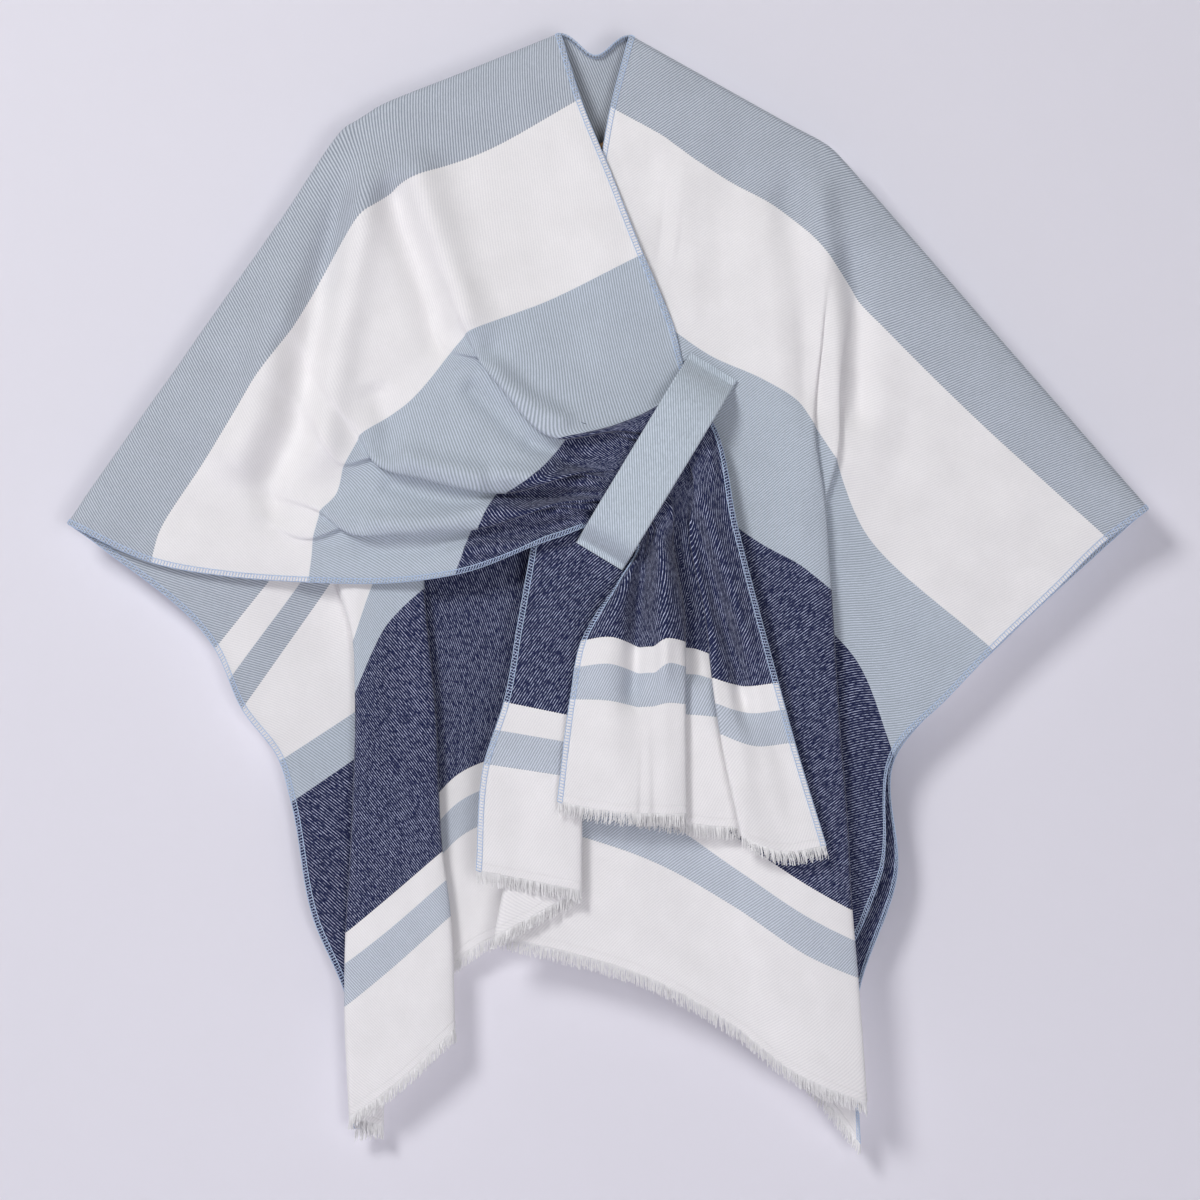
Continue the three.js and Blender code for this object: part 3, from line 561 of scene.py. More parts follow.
def path_mesh(name, points, **directions):
    """A line of edges with a direction stored at each point."""
    mesh = bpy.data.meshes.new(name)
    mesh.from_pydata(points.tolist(), [(i, i + 1) for i in range(len(points) - 1)], [])
    for key, vectors in directions.items():
        layer = mesh.attributes.new(key, "FLOAT_VECTOR", "POINT")
        layer.data.foreach_set("vector", unit(vectors).ravel().astype(np.float32))
    return mesh


def one_material(mesh, material):
    """Gives all faces the one material."""
    mesh.materials.clear()
    mesh.materials.append(material)
    mesh.polygons.foreach_set("material_index", [0] * len(mesh.polygons))


def grow(path, tree, material, **inputs):
    """Runs a geometry tree on a path and returns what it makes as a plain mesh."""
    worker = add_object("worker", path)
    modifier = worker.modifiers.new("grow", "NODES")
    modifier.node_group = tree
    for item in tree.interface.items_tree:
        if item.item_type == "SOCKET" and item.in_out == "INPUT" and item.name in inputs:
            modifier[item.identifier] = inputs[item.name]
        if item.item_type == "SOCKET" and item.name == "Finish":
            modifier[item.identifier] = material
    graph = bpy.context.evaluated_depsgraph_get()
    made = bpy.data.meshes.new_from_object(worker.evaluated_get(graph))
    one_material(made, material)
    bpy.data.objects.remove(worker)
    return made


def joined(name, meshes, material):
    """One object from several plain meshes."""
    parts = [add_object(name, mesh) for mesh in meshes]
    with bpy.context.temp_override(active_object=parts[0], object=parts[0],
                                   selected_editable_objects=parts, selected_objects=parts):
        bpy.ops.object.join()
    piece = parts[0]
    piece.name = name
    one_material(piece.data, material)
    piece.data.shade_smooth()
    return piece


def declare(piece, slot, *nodes):
    """Rides on the one body and stands for its CAD nodes, which it hides. The slot is not used."""
    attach(piece, "root")
    if nodes:
        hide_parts(*nodes)


# Node trees


class Tree:
    """Adds nodes to a shader or geometry tree. Inputs go by name or number, and settings come first."""

    def __init__(self, nodes):
        self.nodes = nodes.nodes
        self.links = nodes.links

    def add(self, kind, settings=None, **inputs):
        node = self.nodes.new(kind)
        for key, value in (settings or {}).items():
            setattr(node, key, value)
        for key, value in inputs.items():
            self.put(node.inputs[self.key(node, key)], value)
        return node

    def key(self, node, name):
        if name.startswith("_"):
            return int(name[1:])
        return next(i for i, s in enumerate(node.inputs) if s.name == name.replace("_", " ") and s.enabled)

    def put(self, socket, value):
        if isinstance(value, Value):
            value = value.socket
        if isinstance(value, bpy.types.NodeSocket):
            self.links.new(value, socket)
        else:
            socket.default_value = value

    def value(self, socket):
        return Value(self, socket)

    def colour_mix(self, share, first, second, blend="MIX"):
        return self.add("ShaderNodeMix", {"data_type": "RGBA", "blend_type": blend},
                        _0=share, _6=first, _7=second).outputs[2]

    def noise(self, spot, scale, detail, **more):
        node = self.add("ShaderNodeTexNoise", Vector=spot, Scale=scale, Detail=detail, **more)
        return self.value(node.outputs[0])

    def shaded(self, colour, shade):
        """The colour times a brightness."""
        grey = self.add("ShaderNodeCombineXYZ", _0=shade, _1=shade, _2=shade).outputs[0]
        return self.colour_mix(1.0, colour, grey, "MULTIPLY")

    def ramp(self, share, stops):
        """A stepped ramp of (place, colour) stops."""
        node = self.add("ShaderNodeValToRGB", Fac=share)
        node.color_ramp.interpolation = "CONSTANT"
        marks = node.color_ramp.elements
        while len(marks) < len(stops):
            marks.new(1.0)
        for mark, (place_, colour) in zip(marks, stops):
            mark.position = place_
            mark.color = colour
        return node.outputs[0]


class Value:
    """A number in a shader tree: arithmetic on it adds Math nodes."""

    def __init__(self, tree, socket):
        self.tree, self.socket = tree, socket

    def math(self, operation, *others):
        node = self.tree.nodes.new("ShaderNodeMath")
        node.operation = operation
        for i, value in enumerate((self, *others)):
            self.tree.put(node.inputs[i], value)
        return Value(self.tree, node.outputs[0])

    def __add__(self, other):
        return self.math("ADD", other)

    def __mul__(self, other):
        return self.math("MULTIPLY", other)

    def __sub__(self, other):
        return self.math("SUBTRACT", other)

    def __truediv__(self, other):
        return self.math("DIVIDE", other)

    def step(self, low, high):
        """0 below low and 1 above high, smooth between them."""
        node = self.tree.add("ShaderNodeMapRange", {"interpolation_type": "SMOOTHSTEP"},
                             Value=self, From_Min=low, From_Max=high)
        return Value(self.tree, node.outputs[0])


def rgb(red, green, blue):
    """A colour on the 0 to 255 screen scale, as the linear one that nodes take."""
    linear = [c / 255 / 12.92 if c <= 10 else ((c / 255 + 0.055) / 1.055) ** 2.4 for c in (red, green, blue)]
    return (*linear, 1.0)


def new_material(name):
    material = bpy.data.materials.new(name)
    material.use_nodes = True
    tree = Tree(material.node_tree)
    shader = material.node_tree.nodes["Principled BSDF"]
    shader.inputs["Metallic"].default_value = 0
    return material, tree, shader


def dress(tree, shader, colour, height, distance=0.00035, strength=0.8):
    """Puts a colour and a bump into the shader."""
    tree.put(shader.inputs["Base Color"], colour)
    bump = tree.add("ShaderNodeBump", Height=height, Distance=distance, Strength=strength)
    tree.put(shader.inputs["Normal"], bump.outputs[0])


def soft_shader(shader, rough=0.9, sheen=0.25):
    """Sockets that are the same all over a brushed cloth."""
    shader.inputs["Sheen Weight"].default_value = sheen
    shader.inputs["Sheen Roughness"].default_value = 0.45
    shader.inputs["Specular IOR Level"].default_value = 0.2
    shader.inputs["Roughness"].default_value = rough


def twill(tree, mirrored, pitch=2.05, angle=67):
    """Coordinates and masks of a twill on a UV map in metres: the raised line and how its dashes break."""
    spot = tree.add("ShaderNodeUVMap", {"uv_map": "weave"}).outputs[0]
    parts = tree.add("ShaderNodeSeparateXYZ", _0=spot)
    u, v = tree.value(parts.outputs[0]), tree.value(parts.outputs[1])
    turn = math.radians(angle)
    side = -1 if mirrored else 1
    over = (u * (math.sin(turn) * side) + v * math.cos(turn)) / (pitch * MM)
    along = (u * (math.cos(turn) * side) - v * math.sin(turn)) / (pitch * MM)
    wobble = tree.noise(spot, 400, 2)
    line = (over * (2 * math.pi) + (wobble - 0.5) * 1.2).math("SINE") * 0.5 + 0.5
    grid = tree.add("ShaderNodeCombineXYZ", _0=along * 0.5, _1=(over + 0.25).math("FLOOR") * 1.7, _2=0.0)
    dash = tree.value(tree.add("ShaderNodeTexNoise", {"noise_dimensions": "2D"}, Vector=grid.outputs[0],
                               Scale=1.0, Detail=1).outputs[0])
    return spot, line, dash


def cloth_material(name, stripes, colours, mirrored):
    """Brushed twill in stripes across the cut."""
    material, tree, shader = new_material(name)
    cut = tree.add("ShaderNodeSeparateXYZ", _0=tree.add("ShaderNodeUVMap", {"uv_map": "cut"}).outputs[0])
    down = tree.value(cut.outputs[1])
    spot, line, dash = twill(tree, mirrored)
    fuzz = tree.noise(spot, 900, 3)
    patches = tree.noise(spot, 28, 3)
    share = (down + (line - 0.5) * (SAWTOOTH * MM)) / (PAST_HEM * MM)
    starts = [0] + [end / PAST_HEM for end, _ in stripes[:-1]]

    def striped(values):
        return tree.ramp(share, [(start, values[kind]) for start, (_, kind) in zip(starts, stripes)])

    ground, raised = (striped({kind: pair[i] for kind, pair in colours.items()}) for i in (0, 1))
    habit = tree.add("ShaderNodeSeparateXYZ", _0=striped(HABITS))
    cover, relief = tree.value(habit.outputs[0]), tree.value(habit.outputs[1])
    thread = (line * 2.4 + dash * 0.8 - 2.85 + cover * 1.5).step(0.0, 0.35)
    colour = tree.shaded(tree.colour_mix(thread, ground, raised), fuzz * 0.16 + patches * 0.14 + 0.85)
    drawn = (down * 1000 - DRAWN_THREAD).math("ABSOLUTE").step(1.4, 0.3)
    dress(tree, shader, colour, (line * 0.6 + dash * 0.4) * relief + fuzz * 0.45 - drawn * 0.9)
    soft_shader(shader)
    return material


def strap_material(colours):
    """The plain blue twill of the strap."""
    material, tree, shader = new_material("strap_twill")
    spot, line, dash = twill(tree, False, angle=-57)
    fuzz = tree.noise(spot, 900, 3)
    thread = (line * 1.6 + dash * 1.2 - 1.2).step(0.0, 0.6)
    colour = tree.shaded(tree.colour_mix(thread, *colours["strap"]), fuzz * 0.16 + 0.92)
    dress(tree, shader, colour, line * 0.6 + dash * 0.3 + fuzz * 0.4)
    soft_shader(shader)
    return material


def yarn_material(name, light, dark):
    """Spun thread: two tones broken up along it, close on the overlock and the fringe. On the strap's
    topstitching the dark tone is painted shade.
    """
    material, tree, shader = new_material(name)
    noise = tree.noise(tree.add("ShaderNodeTexCoord").outputs["Object"], 1500, 2)
    dress(tree, shader, tree.colour_mix(noise.step(0.35, 0.65), dark, light), noise, 0.0002, 0.6)
    soft_shader(shader, rough=0.85, sheen=0.3)
    return material


def wood_material():
    """Satin wood with its grain along the bar."""
    material, tree, shader = new_material("bar_wood")
    spot = tree.add("ShaderNodeTexCoord").outputs["Object"]
    turned = tree.add("ShaderNodeMapping", Vector=spot, Scale=(12, 160, 60)).outputs[0]
    grain = tree.noise(turned, 1.5, 6, Distortion=1.2)
    colour = tree.colour_mix(grain.step(0.35, 0.7), rgb(150, 108, 66), rgb(196, 156, 108))
    dress(tree, shader, colour, grain, 0.0002, 0.5)
    tree.put(shader.inputs["Roughness"], grain * 0.2 + 0.35)
    return material


def wall_material(name, colour):
    """Matt paint, clear when seen from behind so that the object's back can be looked at."""
    material, tree, shader = new_material(name)
    noise = tree.noise(tree.add("ShaderNodeTexCoord").outputs["Object"], 1.2, 2)
    tree.put(shader.inputs["Base Color"], tree.shaded(colour, noise * 0.03 + 0.985))
    shader.inputs["Roughness"].default_value = 0.9
    shader.inputs["Specular IOR Level"].default_value = 0.1
    behind = tree.add("ShaderNodeNewGeometry").outputs["Backfacing"]
    clear = tree.add("ShaderNodeBsdfTransparent").outputs[0]
    mixed = tree.add("ShaderNodeMixShader", _0=behind, _1=shader.outputs[0], _2=clear)
    output = material.node_tree.nodes["Material Output"]
    tree.links.new(mixed.outputs[0], output.inputs["Surface"])
    return material


def geometry_tree(name, **sizes):
    """An empty geometry tree with named size inputs, and its Tree, input and output nodes."""
    group = bpy.data.node_groups.new(name, "GeometryNodeTree")
    face = group.interface
    face.new_socket("Path", in_out="INPUT", socket_type="NodeSocketGeometry")
    for key, value in sizes.items():
        kind = "NodeSocketInt" if isinstance(value, int) else "NodeSocketFloat"
        face.new_socket(key, in_out="INPUT", socket_type=kind).default_value = value
    face.new_socket("Finish", in_out="INPUT", socket_type="NodeSocketMaterial")
    face.new_socket("Geometry", in_out="OUTPUT", socket_type="NodeSocketGeometry")
    tree = Tree(group)
    start = tree.add("NodeGroupInput")
    stop = tree.add("NodeGroupOutput")
    return group, tree, start.outputs, stop


def stored(tree, key):
    return tree.add("GeometryNodeInputNamedAttribute", {"data_type": "FLOAT_VECTOR"}, Name=key).outputs[0]


def scaled(tree, vector, amount):
    return tree.add("ShaderNodeVectorMath", {"operation": "SCALE"}, _0=vector, Scale=amount).outputs[0]


def summed(tree, first, second):
    return tree.add("ShaderNodeVectorMath", {"operation": "ADD"}, _0=first, _1=second).outputs[0]


def even_points(tree, given):
    """The path as a curve with a point at each pitch."""
    curve = tree.add("GeometryNodeMeshToCurve", Mesh=given["Path"]).outputs[0]
    return tree.add("GeometryNodeResampleCurve", {"mode": "LENGTH"}, Curve=curve,
                    Length=given["Pitch"]).outputs[0]


def bezier(tree, resolution, start, first_handle, second_handle, end):
    return tree.add("GeometryNodeCurvePrimitiveBezierSegment", {"mode": "POSITION"}, Resolution=resolution,
                    Start=start, Start_Handle=first_handle, End_Handle=second_handle, End=end).outputs[0]


def thread_ring(tree, given, sides):
    return tree.add("GeometryNodeCurvePrimitiveCircle", {"mode": "RADIUS"}, Resolution=sides,
                    Radius=given["Thread"]).outputs[0]


def swept(tree, curve, ring):
    return tree.add("GeometryNodeCurveToMesh", Curve=curve, Profile_Curve=ring, Fill_Caps=True).outputs[0]


def placed(tree, points, stitch, axes, first, second, **more):
    """A stitch at each point, with its two named axes along two directions."""
    turn = tree.add("FunctionNodeAxesToRotation", {"primary_axis": axes[0], "secondary_axis": axes[1]},
                    Primary_Axis=first, Secondary_Axis=second).outputs[0]
    return tree.add("GeometryNodeInstanceOnPoints", Points=points, Instance=stitch, Rotation=turn,
                    **more).outputs[0]


def end_tree(tree, stop, geometry, finish):
    """Realizes the instances, sets the finish and closes the tree."""
    whole = tree.add("GeometryNodeRealizeInstances", Geometry=geometry).outputs[0]
    done = tree.add("GeometryNodeSetMaterial", Geometry=whole, Material=finish).outputs[0]
    tree.links.new(done, stop.inputs[0])


def combined(tree, x, y, z):
    return tree.add("ShaderNodeCombineXYZ", _0=x, _1=y, _2=z).outputs[0]


def overlock_tree():
    """Overlock stitches over an edge: slanted rungs around it, a line of thread on each face and one
    along the edge. Directions out (off the face) and inward (into the cloth) are stored on the path."""
    group, tree, given, stop = geometry_tree("overlock", Pitch=0.0026, Width=0.0042, Thread=0.00036,
                                             Lift=0.0011)
    width, lift = tree.value(given["Width"]), tree.value(given["Lift"])
    even = even_points(tree, given)
    rung = bezier(tree, 7, combined(tree, 0.0009, width, lift),
                  combined(tree, 0.0004, width * -0.52, lift * 1.9),
                  combined(tree, -0.0004, width * -0.52, lift * -1.9),
                  combined(tree, -0.0009, width, lift * -1))
    ring = thread_ring(tree, given, 4)
    rungs = placed(tree, even, swept(tree, rung, ring), "YZ", stored(tree, "inward"), stored(tree, "out"))
    lines = []
    for inset, height in ((0.95, 1.0), (0.95, -1.0), (-0.12, 0.0)):
        move = summed(tree, scaled(tree, stored(tree, "inward"), width * inset),
                      scaled(tree, stored(tree, "out"), lift * height))
        moved = tree.add("GeometryNodeSetPosition", Geometry=even, Offset=move).outputs[0]
        lines.append(swept(tree, moved, ring))
    join = tree.add("GeometryNodeJoinGeometry")
    for geometry in (rungs, *lines):
        tree.links.new(geometry, join.inputs[0])
    end_tree(tree, stop, join.outputs[0], given["Finish"])
    return group


def fringe_tree():
    """Fringe threads along a hem, leaning together in small locks. fall is where a thread hangs to."""
    group, tree, given, stop = geometry_tree("fringe", Pitch=0.00055, Length=0.012, Thread=0.0004,
                                             Lock=0.0056, Seed=4)
    even = even_points(tree, given)
    thread = bezier(tree, 5, (0, 0, 0.0008), (0.0005, 0.0003, -0.003), (-0.0008, -0.0003, -0.007),
                    combined(tree, 0.0004, 0.0002, tree.value(given["Length"]) * -1))
    strand = swept(tree, thread, thread_ring(tree, given, 3))
    run = tree.value(tree.add("GeometryNodeSplineParameter").outputs["Length"])
    lean = (run / given["Lock"]).math("FRACT") * -0.12 + 0.06
    stray = tree.value(tree.add("FunctionNodeRandomValue", {"data_type": "FLOAT"}, _2=-0.13, _3=0.13,
                                Seed=given["Seed"]).outputs[1])
    puff = tree.value(tree.add("FunctionNodeRandomValue", {"data_type": "FLOAT"}, _2=-0.1, _3=0.16,
                               Seed=17).outputs[1])
    drop = summed(tree, scaled(tree, stored(tree, "fall"), -1.0),
                  summed(tree, scaled(tree, stored(tree, "along"), (lean + stray) * -1),
                         scaled(tree, stored(tree, "out"), puff * -1)))
    size = tree.add("FunctionNodeRandomValue", {"data_type": "FLOAT_VECTOR"}, _0=(0.7, 0.7, 0.62),
                    _1=(1.2, 1.2, 1.08), Seed=9).outputs[0]
    made = placed(tree, even, strand, "ZY", drop, stored(tree, "out"), Scale=size)
    end_tree(tree, stop, made, given["Finish"])
    return group


def stitch_tree():
    """A line of topstitching: one short thread bowed over the cloth at each step of the path."""
    group, tree, given, stop = geometry_tree("topstitch", Pitch=0.0034, Length=0.0026, Thread=0.0004)
    length = tree.value(given["Length"])
    even = even_points(tree, given)
    bow = bezier(tree, 6, *(combined(tree, length * share, 0.0, height) for share, height in
                            ((-0.5, -0.0004), (-0.4, 0.0004), (0.4, 0.0004), (0.5, -0.0004))))
    stitch = swept(tree, bow, thread_ring(tree, given, 5))
    made = placed(tree, even, stitch, "XZ", stored(tree, "along"), stored(tree, "out"))
    end_tree(tree, stop, made, given["Finish"])
    return group


# Settings, operators and the panel


def length_property(name, description, value):
    return bpy.props.FloatProperty(name=name, description=description, default=value, unit="LENGTH")


class WrapSizes(bpy.types.PropertyGroup):
    """Sizes of the cloth, its edges and its sewing."""

    cloth_pitch: length_property("Cloth step", "Step of the cloth's grid", 0.004)
    back_pitch: length_property("Back step", "Step of the wide back's grid", 0.0052)
    cloth_thick: length_property("Cloth thickness", "Cloth with its brushed nap", WALL * MM)
    overlock_width: length_property("Overlock width", "From the cloth's edge to the needle line", 0.0042)
    fringe_length: length_property("Fringe length", "Length of the free threads at a hem", 0.012)
    fringe_pitch: length_property("Fringe step", "Distance between fringe threads", 0.00055)
    stitch_inset: length_property("Stitch inset", "Topstitching's distance from the strap's edge", 0.004)
    wall_gap: length_property("Wall distance", "From the hanger bar to the wall behind it", 0.045)


def colour_property(name, description, value):
    return bpy.props.FloatVectorProperty(
        name=name, description=description, default=value[:3], size=3, subtype="COLOR", min=0, max=1)


class WrapColours(bpy.types.PropertyGroup):
    """Yarn colours, each with a ground and a raised thread where the two differ."""

    grey_ground: colour_property("Grey ground", "Shoulder stripe between its lines", rgb(150, 158, 169))
    grey_raised: colour_property("Grey raised", "Raised threads of the shoulder stripe", rgb(200, 206, 216))
    blue_ground: colour_property("Blue ground", "Light-blue stripe between its lines", rgb(160, 170, 180))
    blue_raised: colour_property("Blue raised", "Raised threads of the light-blue stripe", rgb(200, 208, 220))
    band_ground: colour_property("Band ground", "Narrow band near the hem", rgb(168, 176, 187))
    band_raised: colour_property("Band raised", "Raised threads of the narrow band", rgb(208, 214, 225))
    navy_ground: colour_property("Navy ground", "Navy stripe between its twill lines", rgb(28, 35, 71))
    navy_raised: colour_property("Navy raised", "Pale flecks of the navy stripe", rgb(205, 212, 240))
    white_ground: colour_property("White ground", "Brushed white", rgb(232, 230, 231))
    white_raised: colour_property("White raised", "Raised threads of the white", rgb(240, 238, 238))
    strap_ground: colour_property("Strap ground", "Strap between its twill lines", rgb(166, 177, 188))
    strap_raised: colour_property("Strap raised", "Raised threads of the strap", rgb(210, 220, 230))
    overlock: colour_property("Overlock", "Pale-blue sewing thread", rgb(206, 221, 242))
    wall: colour_property("Wall", "Paint behind the wrap", rgb(229, 227, 235))


def colour_of(name):
    return (*getattr(bpy.context.scene.wrap_colours, name), 1.0)


def stripe_colours():
    kinds = ("grey", "blue", "band", "navy", "white", "strap")
    return {kind: (colour_of(kind + "_ground"), colour_of(kind + "_raised")) for kind in kinds}


class WRAP_OT_panels(bpy.types.Operator):
    """Makes the two fronts and the back as thin walls of twill"""

    bl_idname = "wrap.panels"
    bl_label = "Cloth panels"

    def execute(self, context):
        sizes = context.scene.wrap_sizes
        colours = stripe_colours()
        for name in PANEL_NAMES:
            stripes = BACK_STRIPES if name == "back" else FRONT_STRIPES
            material = cloth_material(name + "_twill", stripes, colours, mirrored=name != "left_front")
            cloth = panel(name)
            layers = {"cut": (cloth.share * HALF_WIDTH * MM, cloth.cut * MM),
                      "weave": [layer * MM for layer in cloth.weave]}
            mesh = wall_mesh(name + "_cloth", cloth.points, cloth.normals, sizes.cloth_thick, layers)
            declare(add_object(name + "_cloth", mesh, material), "cloth", name)
        return {"FINISHED"}


class WRAP_OT_strap(bpy.types.Operator):
    """Makes the doubled strap that the right front is drawn under, and its topstitching"""

    bl_idname = "wrap.strap"
    bl_label = "Strap"

    def execute(self, context):
        points, normals, across, down, shares = strap_surface()
        edge = np.minimum(shares + 0.5, 0.5 - shares) * STRAP["width"]
        rounding = STRAP["thick"] / 2
        taper = np.sqrt(np.clip(1 - (1 - np.clip(edge / rounding, 0, 1)) ** 2, 0.05, 1))
        mesh = wall_mesh("strap_band", points, normals, STRAP["thick"] * MM, {"weave": (across, down)},
                         taper=np.broadcast_to(taper, points.shape[:2]))
        band = add_object("strap_band", mesh, strap_material(stripe_colours()))
        declare(band, "strap_cloth", "strap")
        # The thread's dark tone is painted shade, standing in for the small shadows along the stitches.
        thread = yarn_material("strap_thread_painted_shade", rgb(206, 216, 226), rgb(104, 120, 136))
        inset = context.scene.wrap_sizes.stitch_inset / MM / STRAP["width"]
        lift = normals * (STRAP["thick"] / 2) * MM
        paths = []
        for share in (-0.5 + inset, 0.5 - inset):
            column = int(np.argmin(abs(shares - share)))
            paths.append((points + lift)[4:-4, column])
        for row in (4, -5):
            paths.append((points + lift)[row, 3:-3])
        tree = stitch_tree()
        meshes = []
        for path in paths:
            along = np.gradient(path, axis=0)
            out = np.tile([0.0, -1.0, 0.0], (len(path), 1))
            meshes.append(grow(path_mesh("seam", path, along=along, out=out), tree, thread))
        declare(joined("strap_topstitching", meshes, thread), "strap_cloth")
        return {"FINISHED"}


class WRAP_OT_fringes(bpy.types.Operator):
    """Makes the fringe threads along the three hems"""

    bl_idname = "wrap.fringes"
    bl_label = "Fringes"

    def execute(self, context):
        sizes = context.scene.wrap_sizes
        thread = yarn_material("fringe_yarn", rgb(252, 251, 251), rgb(246, 245, 246))
        tree = fringe_tree()
        for name in PANEL_NAMES:
            cloth = panel(name)
            hem = cloth.points[-1]
            fall = unit(hem - cloth.points[-4]) + np.array([0, 0, -0.25])
            path = path_mesh("hem", hem, along=np.gradient(hem, axis=0),
                             out=cloth.normals[-1] * cloth.facing, fall=fall)
            mesh = grow(path, tree, thread, Length=sizes.fringe_length, Pitch=sizes.fringe_pitch)
            mesh.shade_smooth()
            declare(add_object(name + "_fringe", mesh), "fringe", "fringe_" + name)
        return {"FINISHED"}


class WRAP_OT_overlock(bpy.types.Operator):
    """Sews over the cut edges: both sides of each panel, and the back neck"""

    bl_idname = "wrap.overlock"
    bl_label = "Overlocked edges"

    def execute(self, context):
        sizes = context.scene.wrap_sizes
        thread = yarn_material("overlock_thread", colour_of("overlock"), rgb(176, 198, 230))
        tree = overlock_tree()
        for name in PANEL_NAMES:
            cloth = panel(name)
            edges = [(cloth.points[:, 0], cloth.points[:, 1], cloth.normals[:, 0]),
                     (cloth.points[:, -1], cloth.points[:, -2], cloth.normals[:, -1])]
            if name == "back":
                across = cloth.grid[0, :, 0]
                neck = (across > NECK[0]) & (across < NECK[1])
                edges.append((cloth.points[0, neck], cloth.points[2, neck], cloth.normals[1, neck]))
            meshes = []
            for edge, beside, out in edges:
                path = path_mesh("edge", edge, inward=beside - edge, out=out)
                meshes.append(grow(path, tree, thread, Width=sizes.overlock_width))
            declare(joined(name + "_overlock", meshes, thread), "cloth")
        return {"FINISHED"}


class WRAP_OT_hanger(bpy.types.Operator):
    """Gives the hanger bar its wood"""

    bl_idname = "wrap.hanger"
    bl_label = "Hanger bar"

    def execute(self, context):
        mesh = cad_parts["hanger"].data
        wood = wood_material()
        if not mesh.materials:
            mesh.materials.append(wood)
        for i in range(len(mesh.materials)):
            mesh.materials[i] = wood
        return {"FINISHED"}


# Where the lights and the camera look, in metres.
AIM = (0, 0, -0.39)


class WRAP_OT_stage(bpy.types.Operator):
    """Makes the pale wall and floor, the soft lights and the camera"""

    bl_idname = "wrap.stage"
    bl_label = "Stage"

    def execute(self, context):
        gap = context.scene.wrap_sizes.wall_gap
        colour = colour_of("wall")
        for name, corners in (
            ("wall", ((-6, gap, -1.3), (6, gap, -1.3), (6, gap, 5), (-6, gap, 5))),
            ("floor", ((-6, -7, -1.3), (6, -7, -1.3), (6, gap, -1.3), (-6, gap, -1.3))),
        ):
            mesh = bpy.data.meshes.new(name)
            mesh.from_pydata(corners, [], [(0, 1, 2, 3)])
            board = add_object(name, mesh, wall_material(name + "_paint", colour))
            board.visible_shadow = False
        add_light("key", (-1.8, -2.9, 1.5), size=1.2, power=79)
        add_light("fill", (0.9, -3.5, -0.7), size=1.3, power=30)
        add_light("rear", (0.8, 3.0, 1.2), size=2.4, power=60)
        world = bpy.data.worlds.new("studio")
        context.scene.world = world
        world.use_nodes = True
        sky = world.node_tree.nodes["Background"].inputs
        sky["Color"].default_value, sky["Strength"].default_value = rgb(236, 236, 244), 0.12
        data = bpy.data.cameras.new("camera")
        data.lens, data.sensor_width, data.clip_end = 104, 36, 60
        camera = bpy.data.objects.new("camera", data)
        camera.location = (0, -3.0, AIM[2])
        camera.rotation_euler = (math.pi / 2, 0, 0)
        context.scene.collection.objects.link(camera)
        context.scene.camera = camera
        context.scene.view_settings.view_transform = "Standard"
        return {"FINISHED"}


def add_light(name, place_, size, power):
    light = bpy.data.lights.new(name, "AREA")
    light.shape, light.size, light.energy = "DISK", size, power
    lamp = bpy.data.objects.new(name, light)
    lamp.location = place_
    lamp.rotation_euler = (Vector(AIM) - Vector(place_)).to_track_quat("-Z", "Y").to_euler()
    bpy.context.scene.collection.objects.link(lamp)


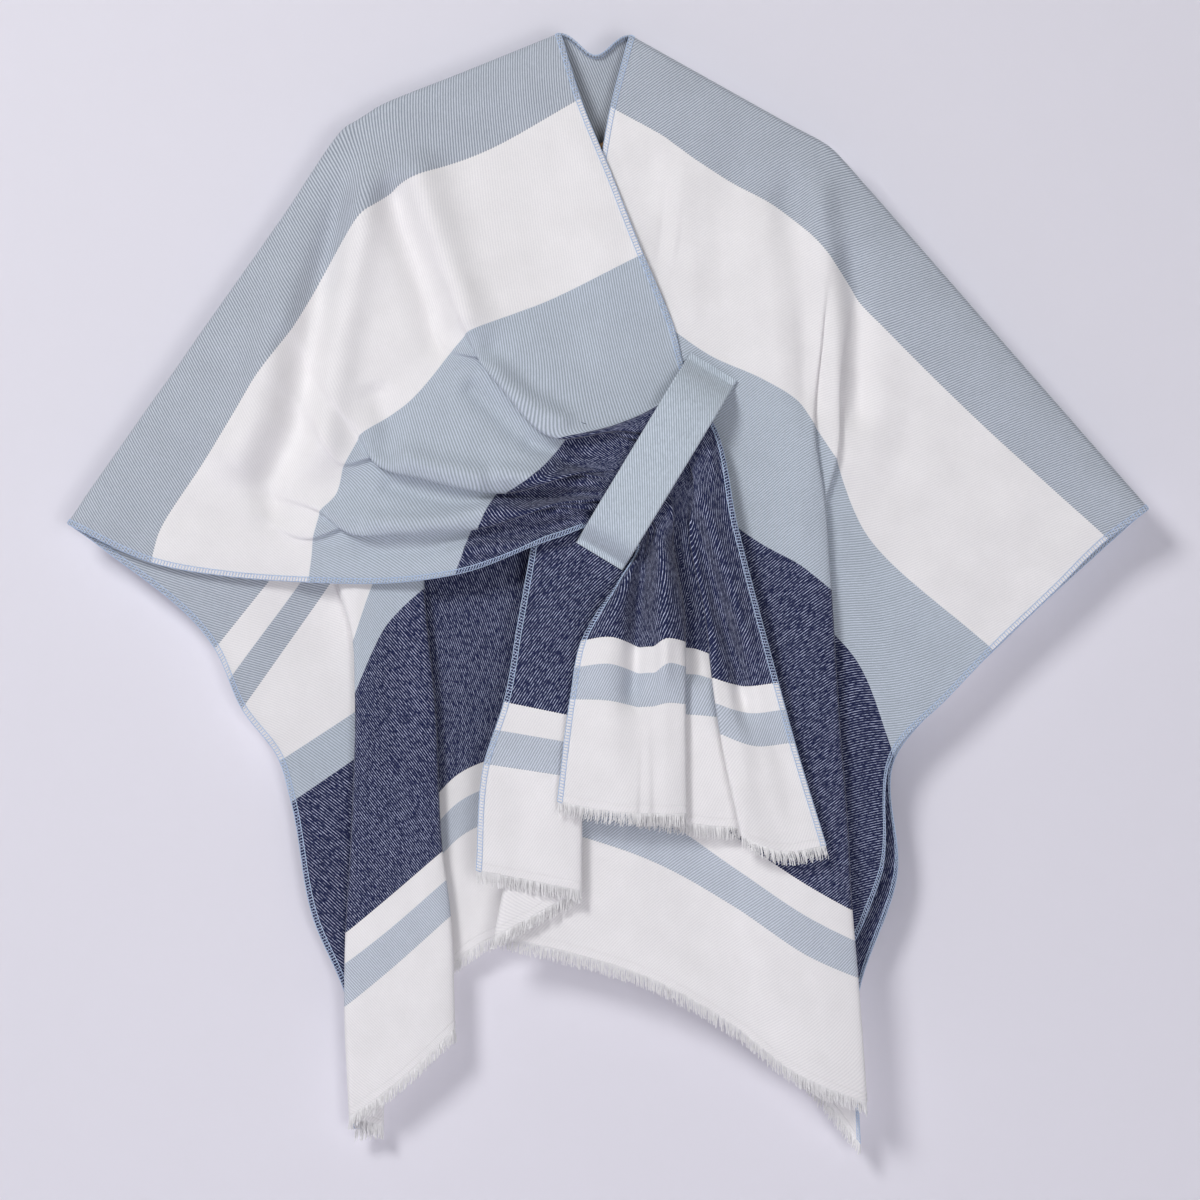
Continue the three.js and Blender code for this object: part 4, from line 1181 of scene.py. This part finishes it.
def strap_surface():
    """The strap's middle surface: it leaves the left front at one end, bows over the right front and
    comes back down at the other."""
    ground = panel("left_front")
    start, end = (np.array(STRAP[key], float) for key in ("start", "end"))
    length = np.linalg.norm(end - start)
    run = (end - start) / length
    seat = WALL / 2 + STRAP["clearance"] + STRAP["thick"] / 2
    lifts = np.array(STRAP["lift"], float)
    steps, columns = 96, 33
    at = np.linspace(0, length, steps + 1)
    where, bend = through(lifts[:, None], lifts[:, :1], [8] * (len(lifts) - 1))[:, 0].T
    lift = np.maximum(np.interp(at, where, bend), 0)
    shares = 0.5 * np.sin(np.linspace(-0.5, 0.5, columns) * math.pi * 0.92) / math.sin(math.pi * 0.46)
    offset = shares * STRAP["width"]
    across = start[0] + run[0] * at[:, None] + run[1] * offset
    down = start[1] + run[1] * at[:, None] - run[0] * offset
    height = np.array([ground.ground(a, d) for a, d in zip(across, down)])
    kernel = np.ones(5) / 5
    for axis in (0, 1):
        height = np.apply_along_axis(
            lambda line: np.convolve(np.pad(line, 2, "edge"), kernel, "valid"), axis, height)
    flat = np.stack([across, down, height + seat + lift[:, None]], axis=-1)
    points = place(flat)
    travelled = stations_of(apart(flat))
    return points, facing_normals(points), np.broadcast_to(offset * MM, across.shape), travelled * MM, shares


class WRAP_PT_panel(bpy.types.Panel):
    """Lists the sizes, the colours and the steps of the wrap"""

    bl_idname = "WRAP_PT_panel"
    bl_label = "Poncho wrap"
    bl_space_type = "VIEW_3D"
    bl_region_type = "UI"
    bl_category = "Wrap"

    def draw(self, context):
        for group in (context.scene.wrap_sizes, context.scene.wrap_colours):
            box = self.layout.box()
            for key in group.__annotations__:
                box.prop(group, key)
        for step in STEPS:
            self.layout.operator(step.bl_idname)


STEPS = (WRAP_OT_panels, WRAP_OT_strap, WRAP_OT_fringes, WRAP_OT_overlock, WRAP_OT_hanger, WRAP_OT_stage)
CLASSES = (WrapSizes, WrapColours, *STEPS, WRAP_PT_panel)


def register():
    for each in CLASSES:
        bpy.utils.register_class(each)
    bpy.types.Scene.wrap_sizes = bpy.props.PointerProperty(type=WrapSizes)
    bpy.types.Scene.wrap_colours = bpy.props.PointerProperty(type=WrapColours)


def unregister():
    del bpy.types.Scene.wrap_colours
    del bpy.types.Scene.wrap_sizes
    for each in reversed(CLASSES):
        bpy.utils.unregister_class(each)


def main():
    register()
    bpy.ops.wrap.panels()
    bpy.ops.wrap.strap()
    bpy.ops.wrap.fringes()
    bpy.ops.wrap.overlock()
    bpy.ops.wrap.hanger()
    bpy.ops.wrap.stage()


if __name__ == "__main__":
    main()
